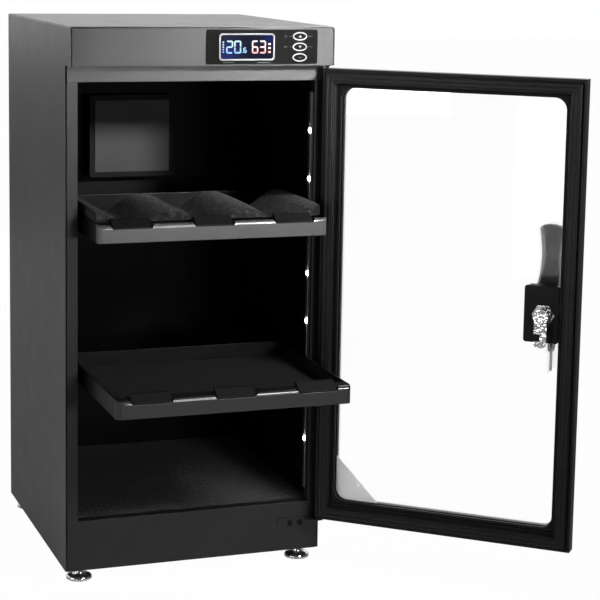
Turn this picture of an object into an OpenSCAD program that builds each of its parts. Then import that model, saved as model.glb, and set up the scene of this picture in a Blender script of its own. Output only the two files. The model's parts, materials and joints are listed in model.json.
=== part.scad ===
// Camera dry cabinet, shown with its glass door swung open and both trays drawn out.
// X runs to the hinge side, the front faces -Y and the floor is at Z = 0.

/* [Cabinet] */
// Width of the cabinet over its side walls
cabinet_w = 315; // [306:1:360]
// Depth of the cabinet from the front frame to the back
cabinet_d = 330; // [322:1:380]
// Height of the cabinet without its feet
cabinet_h = 638; // [632:1:700]
// Thickness of the sheet steel
sheet_t = 1.2; // [0.9:0.1:1.6]
// Outside radius of the casing's folded top corners
bend_r = 2.2; // [1.8:0.1:4]
// Dark seam between the casing and the pieces set into it
seam = 0.8; // [0.3:0.1:0.9]
// Height of the header with the controls
header_h = 45; // [42:1:50]
// How far the header stands in front of the front frame
header_proj = 25; // [25:0.5:28]
// Length of the folds that stiffen the sheet parts
fold_l = 12; // [8:0.5:14]

/* [Front frame] */
// Width of the stiles at the sides of the opening
stile_w = 14.5; // [13:0.5:16]
// Height of the rail that shows below the header
rail_h = 19; // [16:0.5:22]
// Height of the kick panel under the opening
kick_h = 60; // [56:1:64]
// Depth of the frame's folds into the chamber
frame_fold = 14; // [10:0.5:15]
// Clearance round the lock's cam in the stile's slot
strike_gap = 1.5; // [1:0.1:2.5]

/* [Feet] */
// Height of the levelling feet below the cabinet
foot_h = 15; // [13:0.5:20]
// Diameter of a foot's disc
foot_d = 30; // [24:0.5:36]
// Diameter of a foot's threaded stem
foot_stem_d = 8; // [6:0.5:10]
// Distance of a foot's axis from the cabinet's side
foot_inset_x = 20.5; // [19:0.5:26]
// Distance of a foot's axis from the cabinet's front and back
foot_inset_y = 19; // [19:0.5:30]

/* [Door] */
// Gap between the door and the header
door_head_gap = 4; // [3.4:0.1:8]
// Thickness of the door's frame behind its lip
door_t = 18; // [17:0.5:20]
// Gap under the door, above the cabinet's base
door_lift = 41.5; // [41:0.5:44]
// Angle at which the door stands open
door_open = 138.6; // [100:0.1:144]
// Distance of the hinge axis from the door's edge
hinge_inset_x = 3.6; // [3.4:0.1:4.2]
// Distance of the hinge axis from the front frame
hinge_inset_y = 12; // [11.8:0.1:13]
// Diameter of the hinge pins
hinge_pin_d = 4; // [3:0.1:4]
// Width of the frame beside the glass
window_side = 23; // [22:0.5:26]
// Width of the frame above the glass
window_top = 22; // [21:0.5:26]
// Width of the frame below the glass
window_bottom = 25.5; // [22:0.5:28]
// Corner radius of the glazed opening
window_r = 14; // [8:0.5:18]
// Thickness of the glass
glass_t = 4; // [3:0.5:4.5]
// Width of the magnetic gasket
gasket_w = 11.5; // [9:0.5:12]
// Distance of the gasket from the door's edge
gasket_inset = 5.5; // [5:0.5:6]

/* [Lock and handle] */
// Distance of the lock's axis from the door's free edge
lock_inset = 40.7; // [38:0.1:44]
// Height of the lock's axis above the cabinet's base
lock_z = 318; // [300:1:340]
// Diameter of the lock's threaded body
lock_d = 18; // [16:0.5:19]
// Diameter of the plug that the key turns
plug_d = 11; // [9:0.5:12]
// Reach of the cam from the lock's axis
cam_l = 36; // [35:0.5:38]
// Width of the cam's arm
cam_w = 15; // [12:0.5:16]
// Width of the plate behind the lock
plate_w = 41; // [38:0.5:44]
// Height of the plate behind the lock
plate_h = 66; // [60:1:72]
// Height of the handle's grip above the lock's plate
grip_h = 61; // [50:1:80]
// Width of the grip
grip_w = 25; // [20:0.5:28]
// How far the grip stands out from the door
grip_out = 27; // [24:0.5:34]

/* [Keys] */
// Length of a key's blade
blade_l = 22; // [18:0.5:24]
// Height of a key's blade
blade_h = 7; // [5:0.5:7]
// Thickness of a key's blade
blade_t = 2; // [1.6:0.1:2.2]
// Length of a key's moulded bow
bow_l = 28; // [24:0.5:32]
// Width of a key's moulded bow
bow_w = 21; // [18:0.5:26]
// Thickness of a key's moulded bow
bow_t = 4.5; // [4:0.1:6]
// Mean diameter of the key ring
ring_d = 26; // [20:0.5:28]
// Thickness of the ring's wire
ring_wire = 1.8; // [1.4:0.1:2.2]

/* [Trays] */
// Gap between the trays and the cabinet's sides
tray_side = 21; // [20.5:0.1:23]
// Depth of the trays
tray_depth = 244; // [200:1:250]
// Height of the upper tray's underside above the cabinet's base
upper_tray_z = 399.5; // [385:0.5:402]
// Height of the lower tray's underside above the cabinet's base
lower_tray_z = 220.5; // [190:0.5:240]
// How far the upper tray is drawn out
upper_out = 68.5; // [0:0.5:120]
// How far the lower tray is drawn out
lower_out = 155.5; // [0:0.5:160]
// Height of the trim on a tray's front
trim_h = 20; // [18:0.5:22]
// Depth of that trim
trim_t = 7; // [6:0.5:9]
// Corner radius of the trim, seen from above
trim_r = 6.5; // [3:0.5:6.5]
// Height of a tray's walls
wall_h = 21; // [18:0.5:21]
// Thickness of a tray's walls
wall_t = 2; // [1.2:0.1:2.5]
// Width of a grip recess in the trim
recess_w = 45; // [36:0.5:60]
// Distance of the outer recesses from a tray's ends
recess_side = 18; // [12:0.25:30]
// Depth of a grip recess below the trim's top
recess_h = 4.6; // [3:0.1:6]
// Length of the glides at a tray's rear
glide_l = 60; // [40:1:60]
// Height of the glides
glide_h = 8; // [6:0.5:8]
// Number of cradles in the lens foam
cradle_n = 3; // [2:1:4]
// Height of the lens foam at its crests
foam_h = 34; // [24:0.5:38]
// Depth of the cradles below the crests
cradle_h = 24; // [14:0.5:26]
// Length of the lens foam from front to back
foam_l = 150; // [100:1:180]
// Thickness of the mats
mat_t = 3; // [2:0.5:4]

/* [Controls] */
// Width of the control fascia
fascia_w = 135; // [128:0.5:140]
// Height of the control fascia
fascia_h = 39.5; // [39:0.5:41]
// Distance of the fascia from the cabinet's right side
fascia_side = 22; // [16:0.5:30]
// Width of the display's bezel
bezel_w = 67; // [62:0.5:70]
// Height of the display's bezel
bezel_h = 31; // [28:0.5:34]
// Distance of the bezel from the fascia's left end
bezel_inset = 15; // [8:0.5:18]
// Width of a button's ring
ring_w = 17.4; // [15:0.1:19]
// Height of a button's ring
ring_h = 9.8; // [8.5:0.1:10]
// Distance between neighbouring buttons
button_pitch = 12.2; // [11.6:0.1:12.6]
// Distance of the buttons from the fascia's right end
button_inset = 22; // [16:0.5:28]

/* [Dehumidifier and lights] */
// Width of the dehumidifier's face
dryer_w = 100; // [80:1:120]
// Height of the dehumidifier's face
dryer_h = 94; // [70:1:94]
// Depth of the dehumidifier
dryer_t = 26; // [20:0.5:28]
// Distance of the dehumidifier's face below the ceiling
dryer_drop = 57.5; // [56:0.5:80]
// Width of the dark rim round that face
dryer_rim = 7; // [5:0.5:9]
// Distance between the two lamps of a pair
lamp_pitch = 58; // [40:1:60]

/* [Hidden] */

// Clearances and general values
fit = 0.3;
running = 0.05;
over = 1;
round_fn = 48;

// Planes of the cabinet
side_x = cabinet_w / 2;
front_y = -cabinet_d / 2;
back_y = cabinet_d / 2;
base_z = foot_h;
top_z = base_z + cabinet_h;
header_z = top_z - header_h;
header_y = front_y - header_proj;
inner_x = side_x - sheet_t;
open_x = side_x - stile_w;
open_top = header_z - rail_h;
open_bottom = base_z + kick_h;
inner_back_y = back_y - 2 * sheet_t;
frame_x = inner_x - seam;

// Chamber floor and ceiling
sill_drop = 5;
floor_z = open_bottom - sill_drop;
ceiling_z = open_top + sheet_t + fit;
floor_fold = 15;
rim_t = 1.4;

// Shelf standards and tray rails
standard_w = 16;
standard_t = 3.5;
standard_wall = 1.2;
slot_h = 8;
slot_w = 3;
slot_pitch = 26;
standard_inset = 52;
rail_gap = 0.8;
rail_t = 1.2;
rail_front = 17;
rail_back = 10;
glide_lift = 4;
glide_gap = 0.5;
glide_w = 4.2;
tray_w = cabinet_w - 2 * tray_side;
tray_x = tray_w / 2;
recess_pitch = tray_x - recess_side - recess_w / 2;
rail_outer_x = inner_x - standard_t;

// Door layers, measured forward from the front frame
gasket_y = 0.4;
lip_y = 7;
land_y = 9.5;
lip_w = 2.9;
rebate = 4.5;
retainer_t = 4;
glass_y = land_y + retainer_t;
door_back_y = lip_y + door_t;
door_edge_r = 2.5;
door_h = cabinet_h - header_h - door_lift - door_head_gap;
hinge_x = side_x - hinge_inset_x;
hinge_y = front_y - hinge_inset_y;
door_bottom = base_z + door_lift;
door_top = door_bottom + door_h;
free_x = -side_x;
pin_reach = 9;

// Hinge plates
plate_sheet = 1.6;
hinge_plate_l = 50;
hinge_plate_h = 12.5;
hinge_tab_r = 5.5;
hinge_gap = 0.3;
pin_head_d = 6.4;
pin_head_t = 1;
screw_d = 3.4;
screw_head_d = 6.6;
screw_head_t = 1.8;
screw_l = 5;

// Lock layers
lock_x = free_x + lock_inset;
lock_axis_z = base_z + lock_z;
plate_t = 3.2;
nut_across = 23;
nut_t = 4.5;
lock_flange_d = 22;
lock_flange_t = 2;
handle_base_t = 9;
cam_t = 1.8;
cam_y = -4;
cam_tip_r = 6;
cam_head_rim = 3.5;
hook_l = 7;
hook_h = 8;
hook_drop = 20;
plug_head = 1;
keyway_l = 24;
keyway_gap = 0.3;
cam_screw_d = 8;
cam_screw_t = 1.6;
strike_reach = sqrt(pow(cam_l, 2) - pow(open_x + lock_x, 2));

// Keys: how far the bow stands off the plug and the hole in it
bow_gap = 1.2;
bow_hole_d = 6.4;
bow_hole_inset = 6;

// Control layers, measured back from the header's front
fascia_t = 1.6;
fascia_r = 2.4;
fascia_rim = 3.5;
bezel_t = 1;
bezel_rim = 1.9;
bezel_r = 4;
button_ring_t = 0.4;
button_ring_rim = 1.3;
button_gap = 0.35;
button_proud = 1;
board_y = 11;
board_t = 1.6;
board_w = 118;
board_h = 30;
switch_w = 6;
switch_h = 3.6;
stem_d = 2.8;
flange_t = 0.8;
flange_over = 0.6;
travel_gap = 1;

// Lamps on the hinge-side stile
channel_w = 10;
channel_t = 3.2;
channel_wall = 0.8;
channel_y = 2;
channel_margin = 14;
strip_t = 0.6;
lamp_w = 5;
lamp_t = 1.4;

// Vents and fasteners of the back
vent_w = 3;
vent_h = 28;
vent_pitch = 8;
vent_n = 11;
inlet_d = 11;
inlet_side = 52.5;
inlet_x = side_x - inlet_side;
screw_inset = 22;
screw_edge = 7;

// Tables of places, as shares of the sizes that they follow
back_screw_shares = [0.04, 0.36, 0.66, 0.965];
lamp_pair_shares = [0.19, 0.49, 0.845];
grip_out_shares = [0, 0.42, 0.74, 0.92, 1, 1, 0.95, 0.9];
grip_rise_shares = [0, 0.06, 0.18, 0.34, 0.52, 0.7, 0.87, 1];
grip_width_shares = [1, 1, 0.98, 0.93, 0.9, 0.92, 1.02, 1.12];
grip_thick_shares = [0.62, 0.62, 0.56, 0.48, 0.42, 0.38, 0.34, 0.26];

// Rectangle with true round corners
module round_rect(w, h, r) {
    square([w - 2 * r, h], center = true);
    square([w, h - 2 * r], center = true);
    for (sx = [-1, 1], sy = [-1, 1])
        translate([sx * (w / 2 - r), sy * (h / 2 - r)])
            circle(r = r, $fn = round_fn);
}

// Oval with its axes along X and Y
module oval(w, h, n = 40) {
    polygon([for (i = [0 : n - 1]) [w / 2 * cos(360 * i / n), h / 2 * sin(360 * i / n)]]);
}

// Box given by its low and high corners
module span(a, b) {
    translate(a)
        cube(b - a);
}

// Extrudes an outline drawn in X and Z back from the plane at y
module from_front(y, t) {
    translate([0, y + t, 0])
        rotate([90, 0, 0])
            linear_extrude(t)
                children();
}

// Cylinder along Y, starting at y and running back
module rod_y(x, y, z, l, d) {
    translate([x, y, z])
        rotate([-90, 0, 0])
            cylinder(h = l, d = d, $fn = round_fn);
}

// Arch outline with round top corners, standing on z = low
module arch(w, low, high, r) {
    translate([-w / 2, low])
        square([w, high - low - r]);
    translate([-w / 2 + r, low])
        square([w - 2 * r, high - low]);
    for (s = [-1, 1])
        translate([s * (w / 2 - r), high - r])
            circle(r = r, $fn = round_fn);
}

// Folded sheet outline of the casing: two sides and a top
module wrap_outline(low, t) {
    difference() {
        arch(cabinet_w, low, top_z, bend_r);
        arch(cabinet_w - 2 * t, low - over, top_z - t, bend_r - t / 2);
    }
}

// Casing: one sheet folded over the sides and the top, with a hood round the header
module casing_wrap() {
    color("#4a4b4d")
        union() {
            from_front(front_y, cabinet_d)
                wrap_outline(base_z, sheet_t);
            from_front(header_y, header_proj)
                wrap_outline(header_z, sheet_t);
            from_front(inner_back_y, sheet_t)
                difference() {
                    arch(cabinet_w - sheet_t, base_z, top_z - sheet_t / 2, bend_r);
                    arch(cabinet_w - 2 * sheet_t - 2 * fold_l, base_z - over,
                        top_z - sheet_t - fold_l, bend_r);
                }
        }
}

// Header panel: a folded front with a window behind the fascia
fascia_x = side_x - fascia_side - fascia_w / 2;
fascia_z = header_z + header_h / 2 - sheet_t / 2;
module header_panel() {
    top = top_z - sheet_t - seam;
    color("#5f6062")
        difference() {
            union() {
                span([-frame_x, header_y, header_z], [frame_x, header_y + sheet_t, top]);
                span([-frame_x, header_y, header_z], [frame_x, front_y - fit, header_z + sheet_t]);
                span([-frame_x, header_y, top - sheet_t], [frame_x, header_y + fold_l, top]);
            }
            translate([fascia_x, 0, fascia_z])
                from_front(header_y - over, sheet_t + 2 * over)
                    square([fascia_w - 2 * fascia_rim, fascia_h - 2 * fascia_rim], center = true);
        }
}

// Top rail of the front frame, folded in over the opening
module top_rail() {
    color("#6a6b6c")
        union() {
            span([-frame_x, front_y, open_top], [frame_x, front_y + sheet_t, header_z + fold_l]);
            span([-frame_x, front_y, open_top], [frame_x, front_y + frame_fold, open_top + sheet_t]);
        }
}

// Kick panel with its folded sill
module kick_panel() {
    color("#303133")
        union() {
            span([-frame_x, front_y, base_z], [frame_x, front_y + sheet_t, open_bottom]);
            span([-frame_x, front_y, open_bottom - sheet_t],
                [frame_x, front_y + frame_fold, open_bottom]);
        }
}

// Stile at the left or right of the opening; side is -1 or 1
module stile(side) {
    a = side * open_x;
    b = side * frame_x;
    c = side * (open_x + sheet_t);
    span([min(a, b), front_y, open_bottom], [max(a, b), front_y + sheet_t, open_top]);
    span([min(a, c), front_y, open_bottom], [max(a, c), front_y + frame_fold, open_top]);
}

module stile_left() {
    color("#5a5b5c")
        difference() {
            stile(-1);
            span([-open_x - 2 * sheet_t, front_y + sheet_t,
                lock_axis_z - strike_reach - strike_gap],
                [-open_x + over, front_y + frame_fold - 2 * sheet_t,
                lock_axis_z + cam_w / 2 + strike_gap]);
        }
}

module stile_right() {
    color("#2b2c2d")
        stile(1);
}

// Round hole through the back for a screw or the inlet
module back_hole(x, z, d) {
    rod_y(x, inner_back_y - over, z, 2 * sheet_t + 2 * over, d);
}

// Places of the back panel's screws
function back_screw_places() = [for (s = [-1, 1], k = back_screw_shares)
    [s * (inner_x - screw_edge), base_z + k * cabinet_h]];

dryer_top = open_top - dryer_drop + sill_drop * 2;
dryer_mid_z = dryer_top - dryer_h / 2;
inlet_z = header_z + header_h / 2;

// Back panel with the dehumidifier's vents, the inlet and the screw holes
module back_panel() {
    color("#3b3c3d")
        difference() {
            span([-inner_x + fit, back_y - sheet_t, base_z],
                [inner_x - fit, back_y, top_z - sheet_t - fit]);
            for (i = [0 : vent_n - 1], k = [-1, 1])
                translate([(i - (vent_n - 1) / 2) * vent_pitch, 0, dryer_mid_z + k * vent_h * 0.7])
                    from_front(back_y - sheet_t - over, sheet_t + 2 * over)
                        round_rect(vent_w, vent_h, vent_w / 2 - running);
            for (p = back_screw_places())
                rod_y(p[0], back_y - sheet_t - over, p[1], sheet_t + 2 * over, screw_d + 2 * running);
            rod_y(inlet_x, back_y - sheet_t - over, inlet_z, sheet_t + 2 * over,
                inlet_d + 2 * running);
        }
}

// Centres of the four feet
function foot_place(sx, sy) = [sx * (side_x - foot_inset_x), sy * (cabinet_d / 2 - foot_inset_y), 0];

// Base pan: a shallow folded tray with four welded nuts for the feet
nut_h = 6.5;
nut_wide = 14;
module base_pan() {
    wide = inner_x - fit;
    front = front_y + sheet_t + fit;
    back = inner_back_y - fit;
    color("#2e2f30")
        difference() {
            union() {
                span([-wide, front, base_z], [wide, back, base_z + sheet_t]);
                for (s = [-1, 1])
                    span([min(s * wide, s * (wide - sheet_t)), front, base_z],
                        [max(s * wide, s * (wide - sheet_t)), back, base_z + fold_l]);
                span([-wide, front, base_z], [wide, front + sheet_t, base_z + fold_l]);
                span([-wide, back - sheet_t, base_z], [wide, back, base_z + fold_l]);
                for (sx = [-1, 1], sy = [-1, 1])
                    translate(foot_place(sx, sy) + [0, 0, base_z])
                        cylinder(h = sheet_t + nut_h, d = nut_wide / cos(30), $fn = 6);
            }
            for (sx = [-1, 1], sy = [-1, 1])
                translate(foot_place(sx, sy) + [0, 0, base_z - over])
                    cylinder(h = sheet_t + nut_h + 2 * over, d = foot_stem_d + 2 * running,
                        $fn = round_fn);
        }
}

// Floor of the chamber, folded down at its sides
module chamber_floor() {
    wide = inner_x - fit;
    front = front_y + sheet_t + fit;
    back = inner_back_y - fit;
    color("#1c1c1d")
        union() {
            span([-wide, front, floor_z - sheet_t], [wide, back, floor_z]);
            for (s = [-1, 1])
                span([min(s * wide, s * (wide - sheet_t)), front, floor_z - floor_fold],
                    [max(s * wide, s * (wide - sheet_t)), back, floor_z]);
        }
}

// Foam mat on the chamber floor
module floor_mat() {
    wide = rail_outer_x - fit;
    color("#151515")
        span([-wide, front_y + frame_fold + fit, floor_z],
            [wide, inner_back_y - 2 * fit, floor_z + mat_t]);
}

// Ceiling between the chamber and the electronics, folded up at its sides
module ceiling_panel() {
    wide = inner_x - fit;
    front = front_y + sheet_t + fit;
    back = inner_back_y - fit;
    color("#1c1c1d")
        union() {
            span([-wide, front, ceiling_z], [wide, back, ceiling_z + sheet_t]);
            for (s = [-1, 1])
                span([min(s * wide, s * (wide - sheet_t)), front, ceiling_z],
                    [max(s * wide, s * (wide - sheet_t)), back, ceiling_z + fold_l]);
        }
}

// One slotted standard; side is -1 or 1 and y is its middle
module standard(side, y) {
    low = floor_z + fit;
    high = ceiling_z - fit;
    n = floor((high - low - slot_pitch) / slot_pitch);
    translate([side * (inner_x - standard_t / 2), y, 0])
        difference() {
            span([-standard_t / 2, -standard_w / 2, low], [standard_t / 2, standard_w / 2, high]);
            span([min(0, side * standard_t) - (side > 0 ? standard_t / 2 - standard_wall : 0),
                -standard_w / 2 + standard_wall, low - over],
                [max(0, side * standard_t) + (side < 0 ? standard_t / 2 - standard_wall : 0),
                standard_w / 2 - standard_wall, high + over]);
            for (i = [1 : n])
                span([-standard_t, -slot_w / 2, low + i * slot_pitch - slot_h / 2],
                    [standard_t, slot_w / 2, low + i * slot_pitch + slot_h / 2]);
        }
}

module shelf_standards() {
    color("#1f1f20")
        for (side = [-1, 1], y = [front_y + standard_inset, back_y - standard_inset])
            standard(side, y);
}

// Channel that a tray's glide runs in; side is -1 or 1 and z is the tray's underside
module rail(side, z) {
    in_x = tray_x + rail_gap;
    low = z + glide_lift - glide_gap;
    high = z + glide_lift + glide_h + glide_gap;
    y0 = front_y + rail_front;
    y1 = inner_back_y - rail_back;
    span([min(side * in_x, side * rail_outer_x), y0, low - rail_t],
        [max(side * in_x, side * rail_outer_x), y1, low]);
    span([min(side * in_x, side * rail_outer_x), y0, high],
        [max(side * in_x, side * rail_outer_x), y1, high + rail_t]);
    span([min(side * (rail_outer_x - rail_t), side * rail_outer_x), y0, low - rail_t],
        [max(side * (rail_outer_x - rail_t), side * rail_outer_x), y1, high + rail_t]);
}

module rails_upper() {
    color("#202021")
        for (side = [-1, 1])
            rail(side, base_z + upper_tray_z);
}

module rails_lower() {
    color("#202021")
        for (side = [-1, 1])
            rail(side, base_z + lower_tray_z);
}

// Dehumidifier: housing on the back panel, face plate, and the cooler inside
module dryer_housing() {
    out_w = dryer_w + 2 * dryer_rim;
    out_h = dryer_h + 2 * dryer_rim;
    wall = 2;
    y0 = inner_back_y - dryer_t;
    color("#0d0d0e")
        translate([0, 0, dryer_mid_z])
            difference() {
                from_front(y0, dryer_t + sheet_t)
                    round_rect(out_w, out_h, 3 * rim_t);
                from_front(y0 + wall, dryer_t + sheet_t)
                    round_rect(out_w - 2 * wall, out_h - 2 * wall, 2 * rim_t);
                for (i = [-4 : 4])
                    span([i * vent_pitch - vent_w / 2, y0 + 3 * wall, -out_h / 2 - over],
                        [i * vent_pitch + vent_w / 2, y0 + dryer_t - 3 * wall, -out_h / 2 + wall + over]);
            }
}

module dryer_face_plate() {
    color("#3c3c3d")
        translate([0, 0, dryer_mid_z])
            from_front(inner_back_y - dryer_t - sheet_t, sheet_t)
                round_rect(dryer_w, dryer_h, rim_t);
}

fin_n = 13;
module dryer_heat_sink() {
    sink_w = dryer_w * 0.72;
    sink_h = dryer_h * 0.62;
    base_t = 5;
    sink_gap = 2;
fin_t = 1.2;
    color("#a6a8ab")
        translate([0, 0, dryer_mid_z])
            union() {
                span([-sink_w / 2, inner_back_y - dryer_t / 2, -sink_h / 2],
                    [sink_w / 2, inner_back_y - dryer_t / 2 + base_t, sink_h / 2]);
                for (i = [0 : fin_n - 1])
                    translate([-sink_w / 2 + i * (sink_w - fin_t) / (fin_n - 1), 0, 0])
                        span([0, inner_back_y - dryer_t / 2, -sink_h / 2],
                            [fin_t, back_y - sheet_t, sink_h / 2]);
                span([-sink_w / 4, inner_back_y - dryer_t + sink_gap + fit, -sink_h / 4],
                    [sink_w / 4, inner_back_y - dryer_t / 2, sink_h / 4]);
            }
}

// Humidity sensor under the ceiling, with its slots
module humidity_sensor() {
    w = 34;
    d = 20;
    h = 9;
    y = inner_back_y - 3 * d;
    x = inner_x - 2 * w;
    color("#e4e4e0")
        difference() {
            span([x, y, ceiling_z - h], [x + w, y + d, ceiling_z]);
            for (i = [1 : 5])
                span([x + i * w / 6 - rim_t / 2, y + d / 5, ceiling_z - h - over],
                    [x + i * w / 6 + rim_t / 2, y + d - d / 5, ceiling_z - h + 2 * rim_t]);
        }
}

// Control fascia and what it carries
bezel_x = fascia_x - fascia_w / 2 + bezel_inset + bezel_w / 2;
button_x = fascia_x + fascia_w / 2 - button_inset;
module control_fascia() {
    color("#0b0b0c")
        difference() {
            translate([fascia_x, 0, fascia_z])
                from_front(header_y - fascia_t, fascia_t)
                    round_rect(fascia_w, fascia_h, fascia_r);
            translate([bezel_x, 0, fascia_z])
                from_front(header_y - fascia_t - over, fascia_t + 2 * over)
                    square([bezel_w - 2 * bezel_rim, bezel_h - 2 * bezel_rim], center = true);
            for (i = [-1 : 1])
                translate([button_x, 0, fascia_z + i * button_pitch])
                    from_front(header_y - fascia_t - over, fascia_t + 2 * over)
                        oval(ring_w - 2 * button_ring_rim, ring_h - 2 * button_ring_rim);
        }
}

module display_bezel() {
    color("#c4c5c8")
        translate([bezel_x, 0, fascia_z])
            from_front(header_y - fascia_t - bezel_t, bezel_t)
                difference() {
                    round_rect(bezel_w, bezel_h, bezel_r);
                    round_rect(bezel_w - 2 * bezel_rim + fit, bezel_h - 2 * bezel_rim + fit,
                        bezel_r - bezel_rim / 2);
                }
}

module display_window() {
    color("#10131c")
        translate([bezel_x, 0, fascia_z])
            from_front(header_y - fascia_t - bezel_t / 2, fascia_t)
                round_rect(bezel_w - 2 * bezel_rim - fit, bezel_h - 2 * bezel_rim - fit,
                    bezel_r - bezel_rim / 2);
}

module display_module() {
    color("#16181f")
        translate([bezel_x, 0, fascia_z])
            from_front(header_y, board_y - fit)
                square([bezel_w - 2 * bezel_rim - fit, bezel_h - 2 * bezel_rim - fit],
                    center = true);
}

module button_rings() {
    color("#f2f2f2")
        for (i = [-1 : 1])
            translate([button_x, 0, fascia_z + i * button_pitch])
                from_front(header_y - fascia_t - button_ring_t, button_ring_t)
                    difference() {
                        oval(ring_w, ring_h);
                        oval(ring_w - 2 * button_ring_rim, ring_h - 2 * button_ring_rim);
                    }
}

// Board with its switches, on four standoffs behind the header panel
module control_board() {
    standoff_d = 5;
    color("#1f5a35")
        union() {
            translate([fascia_x, 0, fascia_z])
                from_front(header_y + board_y, board_t)
                    square([board_w, board_h], center = true);
            for (i = [-1 : 1])
                translate([button_x, 0, fascia_z + i * button_pitch])
                    from_front(header_y + board_y - switch_h, switch_h)
                        square([switch_w, switch_w], center = true);
            for (sx = [-1, 1])
                translate([fascia_x + sx * (board_w / 2 - standoff_d / 2), 0, fascia_z])
                    from_front(header_y, board_y + board_t)
                        square([standoff_d, fascia_h - 2 * fascia_rim - 2 * fit], center = true);
        }
}

// One button: cap, hidden flange and the stem to its switch
module button(i) {
    cap_w = ring_w - 2 * button_ring_rim - 2 * button_gap;
    cap_h = ring_h - 2 * button_ring_rim - 2 * button_gap;
    low_y = header_y - fascia_t - button_proud;
    color("#111214")
        translate([button_x, 0, fascia_z + i * button_pitch])
            union() {
                from_front(low_y, fascia_t + button_proud + fit)
                    oval(cap_w, cap_h);
                from_front(header_y + fit, flange_t)
                    oval(cap_w + 2 * flange_over + button_gap, cap_h + 2 * flange_over + button_gap);
                rod_y(0, header_y + fit, 0, board_y - switch_h - 2 * fit - travel_gap / 2, stem_d);
            }
}

module button_up() { button(1); }
module button_down() { button(0); }
module button_set() { button(-1); }

// Lamps: a channel on the stile's fold, the strip in it and the lamps
channel_low = open_bottom + channel_margin;
channel_high = open_top - channel_margin;
lamp_heights = [for (k = lamp_pair_shares, s = [-1, 1])
    channel_low + k * (channel_high - channel_low) + s * lamp_pitch / 2];
module led_channel() {
    y0 = front_y + channel_y;
    color("#161617")
        difference() {
            span([open_x - channel_t, y0, channel_low], [open_x, y0 + channel_w, channel_high]);
            span([open_x - channel_t - over, y0 + channel_wall, channel_low - over],
                [open_x - channel_wall, y0 + channel_w - channel_wall, channel_high + over]);
        }
}

module led_strip() {
    y0 = front_y + channel_y + channel_wall + fit;
    color("#d8d6cc")
        span([open_x - channel_wall - strip_t, y0, channel_low + channel_wall],
            [open_x - channel_wall, y0 + channel_w - 2 * channel_wall - 2 * fit,
            channel_high - channel_wall]);
}

module led_lamps() {
    x = open_x - channel_wall - strip_t;
    y = front_y + channel_y + channel_w / 2;
    color("#ffffff")
        for (h = lamp_heights)
            span([x - lamp_t, y - lamp_w / 2, h - lamp_w / 2],
                [x, y + lamp_w / 2, h + lamp_w / 2]);
}

// Hinge plates with their pins: one below the door, one under the header
plate_bottom = door_bottom - 2 * fit - plate_sheet;
module hinge_pin(z, up) {
    translate([hinge_x, hinge_y, z])
        mirror([0, 0, up ? 0 : 1])
            cylinder(h = pin_reach, d = hinge_pin_d, $fn = round_fn);
}

module hinge_plates() {
    low = plate_bottom + plate_sheet - hinge_plate_h;
    left = side_x - hinge_plate_l - 2 * sheet_t;
    color("#343537")
        union() {
            difference() {
                union() {
                    span([left + hinge_tab_r, front_y - plate_sheet, low],
                        [frame_x, front_y, plate_bottom + plate_sheet]);
                    span([left, front_y - plate_sheet, low + hinge_tab_r],
                        [frame_x, front_y, plate_bottom + plate_sheet]);
                    rod_y(left + hinge_tab_r, front_y - plate_sheet, low + hinge_tab_r,
                        plate_sheet, 2 * hinge_tab_r);
                }
                for (p = hinge_screw_places())
                    rod_y(p[0], front_y - plate_sheet - over, p[1], plate_sheet + 2 * over,
                        screw_d + 2 * running);
            }
            span([hinge_x - 3 * hinge_tab_r, hinge_y, plate_bottom],
                [frame_x, front_y - plate_sheet / 2, plate_bottom + plate_sheet]);
            span([hinge_x - 3 * hinge_tab_r, hinge_y - hinge_tab_r, plate_bottom],
                [hinge_x, hinge_y + fit, plate_bottom + plate_sheet]);
            intersection() {
                translate([hinge_x, hinge_y, plate_bottom])
                    cylinder(h = plate_sheet, r = hinge_tab_r, $fn = round_fn);
                span([hinge_x - hinge_tab_r, hinge_y - hinge_tab_r, plate_bottom],
                    [side_x, front_y, plate_bottom + plate_sheet]);
            }
            hinge_pin(plate_bottom + plate_sheet / 2, true);
            span([hinge_x - 3 * hinge_tab_r, hinge_y - hinge_tab_r, header_z - plate_sheet],
                [frame_x, front_y - fit, header_z]);
            hinge_pin(header_z - plate_sheet / 2, false);
        }
}

function hinge_screw_places() = [for (k = [0.3, 0.55])
    [side_x - hinge_plate_l - 2 * sheet_t + k * hinge_plate_l,
    plate_bottom + plate_sheet - hinge_plate_h / 2]];

// Low-voltage inlet in the back, with a blind socket
module dc_inlet() {
    flange_d = 15;
    body_l = 14;
    socket_d = 5.5;
    socket_l = 9.5;
    centre_d = 2;
    color("#101011")
        union() {
            difference() {
                union() {
                    rod_y(inlet_x, back_y, inlet_z, rim_t, flange_d);
                    rod_y(inlet_x, back_y - body_l, inlet_z, body_l + rim_t, inlet_d);
                }
                rod_y(inlet_x, back_y + rim_t - socket_l, inlet_z, socket_l + over, socket_d);
            }
            rod_y(inlet_x, back_y + rim_t - socket_l - rim_t, inlet_z, socket_l, centre_d);
        }
}

// Pan-head screw along Y with its head facing out; dir is -1 for the front, 1 for the back
module screw_y(x, y, z, dir) {
    translate([x, y, z])
        rotate([dir > 0 ? -90 : 90, 0, 0])
            union() {
                difference() {
                    cylinder(h = screw_head_t, d = screw_head_d, $fn = round_fn);
                    for (a = [0, 90])
                        rotate([0, 0, a])
                            translate([0, 0, screw_head_t])
                                cube([screw_head_d * 0.55, screw_head_d * 0.14, screw_head_t],
                                    center = true);
                }
                translate([0, 0, -sheet_t])
                    cylinder(h = sheet_t + rim_t / 2, d = screw_d, $fn = round_fn);
            }
}

module case_screws() {
    color("#8c8d90")
        union() {
            for (p = back_screw_places())
                screw_y(p[0], back_y, p[1], 1);
            for (p = hinge_screw_places())
                screw_y(p[0], front_y - plate_sheet, p[1], -1);
        }
}

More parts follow.
